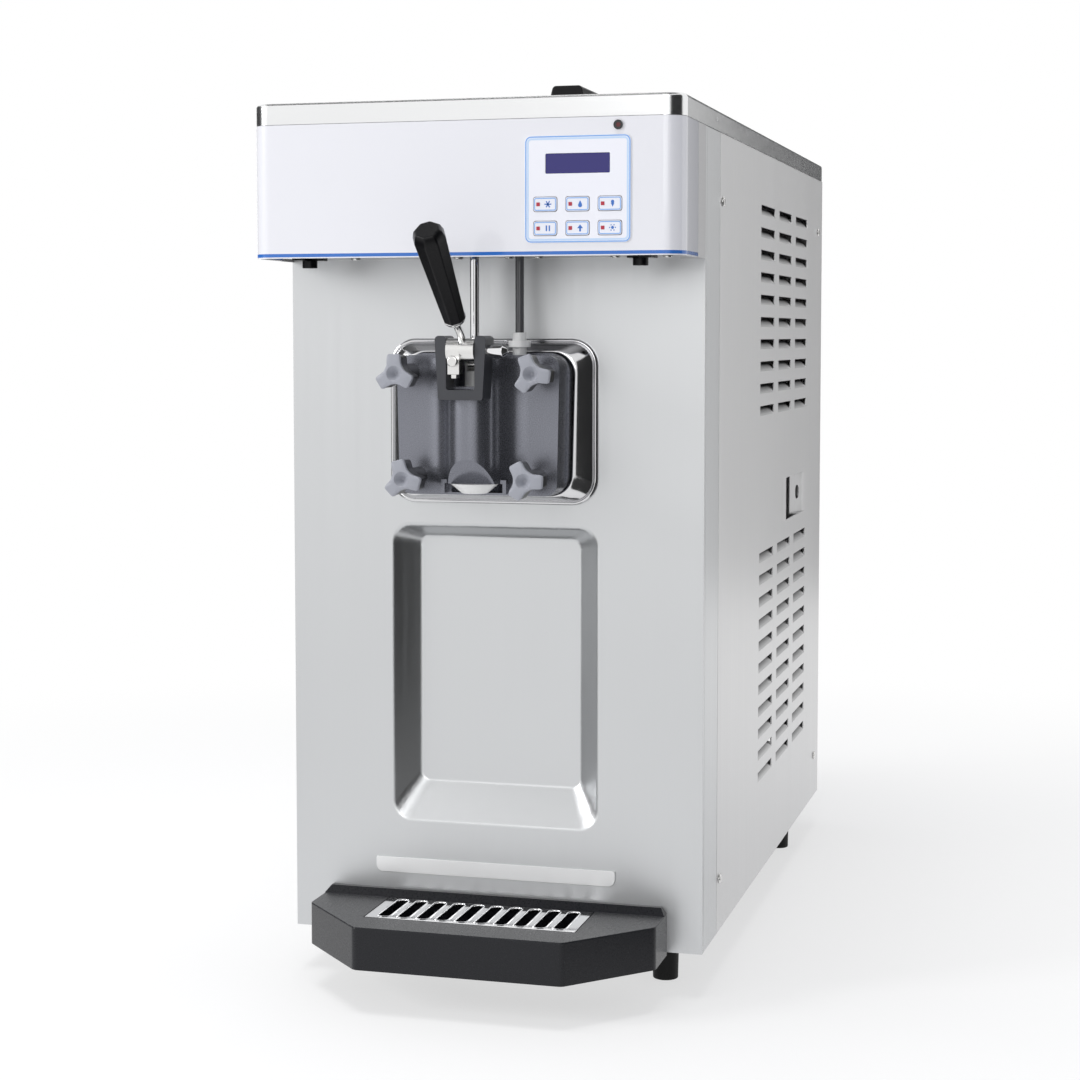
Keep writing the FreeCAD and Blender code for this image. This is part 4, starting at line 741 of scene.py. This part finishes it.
def draw_rod():
    rings = []
    for step in range(ROD_STEPS + 1):
        share = step / ROD_STEPS
        before = bend_point(max(share - ROD_LOOK, 0))
        after = bend_point(min(share + ROD_LOOK, 1))
        length = math.hypot(after[0] - before[0], after[1] - before[1])
        along = ((after[0] - before[0]) / length, (after[1] - before[1]) / length)
        rings.append(across_ring(along, bend_point(share), ROD_RADIUS, ROD_COUNT))
    cup = []
    for distance, radius in FERRULE_STATIONS:
        cup.append(across_ring(GRIP_ALONG, grip_place(distance), radius, FERRULE_COUNT))
    vertices, faces = join_parts([skin(rings, "capped"), skin(cup, "capped")])
    piece = mesh_piece("draw_rod", vertices, faces, "handle", "chrome")
    shade_smooth(piece, sharp_degrees=40)
    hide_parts("handle_rod")


# Hand screws: dished grey face on a three-lobed body with a plain hub, in millimetres; the body's near black is
# painted shade on the knob's sides and hub
KNOB_REACH = 15.4
KNOB_HALF_LOBE = 5.7
KNOB_WAIST = 8.3
KNOB_BLEND = 9
KNOB_LEAST_SINE = 0.05
KNOB_COUNT = 84
KNOB_HUB = 7.4
KNOB_SETBACK = 0.3
# Rings from the back of the face round to its dimple, and from inside the body to its hub.
# Each is round, with its radius, or lobed, with a share of the outline, and has a depth behind the face
KNOB_FACE = (
    ("round", 2.0, 5.9), ("round", 6.7, 3.6), ("lobed", 0.97, 3.2), ("lobed", 1.0, 2.8), ("lobed", 1.0, 1.1),
    ("lobed", 0.975, 0.3), ("lobed", 0.93, 0.0), ("round", 6.1, 0.0), ("round", 5.6, 0.5), ("round", 3.0, 3.2),
    ("round", 1.2, 5.2),
)
KNOB_BODY = (
    ("round", 6.8, 6.2), ("lobed", 0.95, 3.0), ("lobed", 0.93, 18.0), ("lobed", 0.88, 19.0),
    ("round", KNOB_HUB, 19.0),
)
# Angle of each hand screw's first lobe, from the right and anticlockwise as seen from the front
KNOB_TURNS = (92, 112, 104, 118)


def knob_radius(angle):
    """Reach of the three-lobed outline at an angle from a lobe's middle."""
    turn = (angle + math.pi / 3) % (2 * math.pi / 3) - math.pi / 3
    tip = KNOB_REACH / math.cos(turn)
    flank = KNOB_HALF_LOBE / max(abs(math.sin(turn)), KNOB_LEAST_SINE)
    lobe = (tip ** -KNOB_BLEND + flank ** -KNOB_BLEND) ** (-1 / KNOB_BLEND)
    return (lobe ** KNOB_BLEND + KNOB_WAIST ** KNOB_BLEND) ** (1 / KNOB_BLEND)


def knob_ring(centre, turn, shape, size, depth):
    ring = []
    for index in range(KNOB_COUNT):
        angle = 2 * math.pi * index / KNOB_COUNT
        radius = knob_radius(angle) * size if shape == "lobed" else size
        x = radius * math.cos(angle + turn)
        z = radius * math.sin(angle + turn)
        ring.append((centre.x + x * MM, centre.y + depth * MM, centre.z + z * MM))
    return ring


def hand_screw(name, turn_degrees):
    low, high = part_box(name)
    joint = next(entry for entry in frame["record"]["behaviour"]["joints"] if entry["child"] == name)
    centre = Vector((joint["pos_m"][0], low.y + KNOB_SETBACK * MM, joint["pos_m"][2]))
    turn = math.radians(turn_degrees)
    vertices, faces = skin([knob_ring(centre, turn, *ring) for ring in KNOB_FACE], "capped")
    piece = mesh_piece(name + "_face", vertices, faces, name, "knob_grey")
    shade_smooth(piece, sharp_degrees=45)
    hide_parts(name)
    hub_end = ("round", KNOB_HUB, (high.y - centre.y) / MM)
    vertices, faces = skin([knob_ring(centre, turn, *ring) for ring in (*KNOB_BODY, hub_end)], "capped")
    # The body's black plastic is painted shade on the knob's sides and hub
    piece = mesh_piece(name + "_body", vertices, faces, name, "grip_black")
    shade_smooth(piece, sharp_degrees=45)


# Rolled rims of the drip grid's slots, in millimetres: sizes of the slots as in the solid
SLOT_COUNT = 10
SLOT_END_MARGIN = 14.2
SLOT_WIDTH = 9.2
SLOT_MARGIN = 4.6
SLOT_CORNER_SHARE = 0.45
# Distance out from the slot's edge and height over the plate
RIM_PROFILE = (
    (1.9, -0.2), (1.5, 0.35), (1.0, 0.6), (0.5, 0.6), (0.1, 0.3), (-0.05, -0.2), (-0.05, -1.6), (0.4, -0.6),
)


def slot_rims():
    low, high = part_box("drip_grid")
    half = high.x / MM
    pitch = 2 * (half - SLOT_END_MARGIN) / (SLOT_COUNT - 1)
    middle_y = (low.y + high.y) / 2 / MM
    length = (high.y - low.y) / MM - 2 * SLOT_MARGIN
    parts = []
    for index in range(SLOT_COUNT):
        x = (index - (SLOT_COUNT - 1) / 2) * pitch
        rings = []
        for out, lift in RIM_PROFILE:
            radius = SLOT_WIDTH * SLOT_CORNER_SHARE + out
            points = rounded_rectangle(x, middle_y, SLOT_WIDTH + 2 * out, length + 2 * out, radius)
            rings.append([(px * MM, py * MM, high.z + lift * MM) for px, py in points])
        parts.append(skin(rings, "closed"))
    vertices, faces = join_parts(parts)
    piece = mesh_piece("slot_rims", vertices, faces, "grid", "chrome")
    shade_smooth(piece, sharp_degrees=60)


stamped_bezel()
slot_rims()
draw_grip()
draw_rod()
for number, turn_degrees in enumerate(KNOB_TURNS, start=1):
    hand_screw("hand_screw_%d" % number, turn_degrees)


# Stage: floor, light and camera

def seen_rays(tree):
    """1 for the rays that show the surround: from the camera, off metal and through glass."""
    path = add(tree, "ShaderNodeLightPath")
    first = math_node(tree, "MAXIMUM", path.outputs["Is Camera Ray"], path.outputs["Is Glossy Ray"])
    return math_node(tree, "MAXIMUM", first, path.outputs["Is Transmission Ray"])


def sheet(name, corners):
    """Flat four-cornered piece of the set."""
    mesh = bpy.data.meshes.new(name)
    mesh.from_pydata([tuple(point) for point in corners], [], [(0, 1, 2, 3)])
    piece = bpy.data.objects.new(name, mesh)
    bpy.context.scene.collection.objects.link(piece)
    return piece


# Half the floor's width, and how far from the machine's middle it starts and ends turning white, in metres
FLOOR_HALF = 6.0
FLOOR_NEAR = 0.55
FLOOR_FAR = 1.5
# Share of plain white near the machine, and the grey that takes the shadow
FLOOR_WHITE = 0.62
FLOOR_GREY = 0.86


def make_floor():
    """Pale floor that keeps the shadow near the machine and turns plain white further out."""
    half = FLOOR_HALF
    floor = sheet("floor", [(-half, -half, 0), (half, -half, 0), (half, half, 0), (-half, half, 0)])
    material, tree, shader = start_material("floor")
    shader.inputs["Base Color"].default_value = (FLOOR_GREY, FLOOR_GREY, FLOOR_GREY, 1)
    shader.inputs["Roughness"].default_value = 0.9
    shader.inputs["Specular IOR Level"].default_value = 0.0
    white = add(tree, "ShaderNodeEmission")
    place = add(tree, "ShaderNodeTexCoord")
    reach = add(tree, "ShaderNodeVectorMath", operation="LENGTH")
    tree.links.new(place.outputs["Object"], reach.inputs[0])
    fade = add(tree, "ShaderNodeMapRange", interpolation_type="SMOOTHSTEP")
    fade.inputs["From Min"].default_value = FLOOR_NEAR
    fade.inputs["From Max"].default_value = FLOOR_FAR
    fade.inputs["To Min"].default_value = FLOOR_WHITE
    tree.links.new(reach.outputs["Value"], fade.inputs["Value"])
    mix = add(tree, "ShaderNodeMixShader")
    tree.links.new(math_node(tree, "MULTIPLY", fade.outputs["Result"], seen_rays(tree)), mix.inputs["Fac"])
    tree.links.new(shader.outputs["BSDF"], mix.inputs[1])
    tree.links.new(white.outputs["Emission"], mix.inputs[2])
    tree.links.new(mix.outputs["Shader"], tree.nodes["Material Output"].inputs["Surface"])
    floor.data.materials.append(material)


# Dark sheets round the set: first corner, the two sides from it, in metres, and grey
CARDS = {
    "right_card": ((1.9, -3.3, 0.0), (0, 3.4, 0), (0, 0, 2.0), 0.015),
    "right_floor_card": ((0.35, -2.6, 0.003), (0, 2.7, 0), (1.55, 0, 0), 0.015),
    "left_floor_card": ((-1.9, -0.9, 0.003), (0, 2.0, 0), (1.4, 0, 0), 0.05),
    "left_card": ((-1.9, -0.95, 0.0), (0, 2.05, 0), (0, 0, 1.8), 0.05),
    "back_card": ((-0.1, 2.6, 0.0), (0.9, 0, 0), (0, 0, 1.6), 0.08),
    "ceiling_card": ((-1.2, -1.6, 2.4), (0, 2.2, 0), (2.4, 0, 0), 0.05),
}


def make_card(name, first, along, across, grey):
    """Dark sheet that shows only in glossy surfaces: the camera, dull surfaces and the lamps don't see it."""
    corner, along, across = Vector(first), Vector(along), Vector(across)
    card = sheet(name, [corner, corner + along, corner + along + across, corner + across])
    material, _, shader = start_material(name)
    shader.inputs["Base Color"].default_value = (grey, grey, grey, 1)
    shader.inputs["Roughness"].default_value = 1.0
    card.data.materials.append(material)
    card.visible_camera = False
    card.visible_diffuse = False
    card.visible_shadow = False


# What lights dull surfaces, beside the plain white that the camera and the metal see
SURROUND_COLOUR = (0.92, 0.94, 1.0)
SURROUND_STRENGTH = 0.42


def make_world():
    """Even studio surround that the camera and the metal see as white."""
    world = bpy.data.worlds.new("studio")
    bpy.context.scene.world = world
    world.use_nodes = True
    tree = world.node_tree
    surround = tree.nodes["Background"]
    surround.inputs["Color"].default_value = (*SURROUND_COLOUR, 1)
    surround.inputs["Strength"].default_value = SURROUND_STRENGTH
    seen = add(tree, "ShaderNodeBackground")
    seen.inputs["Color"].default_value = (1, 1, 1, 1)
    seen.inputs["Strength"].default_value = 1.0
    mix = add(tree, "ShaderNodeMixShader")
    tree.links.new(seen_rays(tree), mix.inputs["Fac"])
    tree.links.new(surround.outputs["Background"], mix.inputs[1])
    tree.links.new(seen.outputs["Background"], mix.inputs[2])
    tree.links.new(mix.outputs["Shader"], tree.nodes["World Output"].inputs["Surface"])


# Square lamps: place and side in metres, power in watts
LAMPS = {
    "left_key": ((-2.5, -1.9, 1.5), 0.9, 44),
    "overhead": ((-0.2, -0.3, 2.9), 1.5, 56),
    "front_fill": ((0.4, -3.6, 1.6), 1.6, 16),
}
LAMP_TARGET = Vector((0, 0, 0.4))


def make_lamp(name, place, side, power):
    lamp = bpy.data.lights.new(name, "AREA")
    lamp.shape = "SQUARE"
    lamp.size = side
    lamp.energy = power
    holder = bpy.data.objects.new(name, lamp)
    holder.location = place
    holder.rotation_euler = (LAMP_TARGET - Vector(place)).to_track_quat("-Z", "Y").to_euler()
    bpy.context.scene.collection.objects.link(holder)


def make_camera():
    camera = bpy.data.cameras.new("photo_view")
    camera.sensor_width = SENSOR_MM
    camera.lens = FOCAL_PIXELS / FRAME_PIXELS * SENSOR_MM
    camera.shift_y = -AXIS_OFFSET_PIXELS / FRAME_PIXELS
    camera.clip_start = 0.05
    holder = bpy.data.objects.new("photo_view", camera)
    holder.location = (CAMERA_RIGHT * MM, PANEL_FACE - CAMERA_AHEAD * MM, CAMERA_HEIGHT * MM)
    holder.rotation_euler = (math.pi / 2 + CAMERA_TILT, 0, CAMERA_TURN)
    bpy.context.scene.collection.objects.link(holder)
    bpy.context.scene.camera = holder


make_floor()
for card_name, card_values in CARDS.items():
    make_card(card_name, *card_values)
make_world()
for lamp_name, lamp_values in LAMPS.items():
    make_lamp(lamp_name, *lamp_values)
make_camera()
bpy.context.scene.view_settings.view_transform = "Standard"
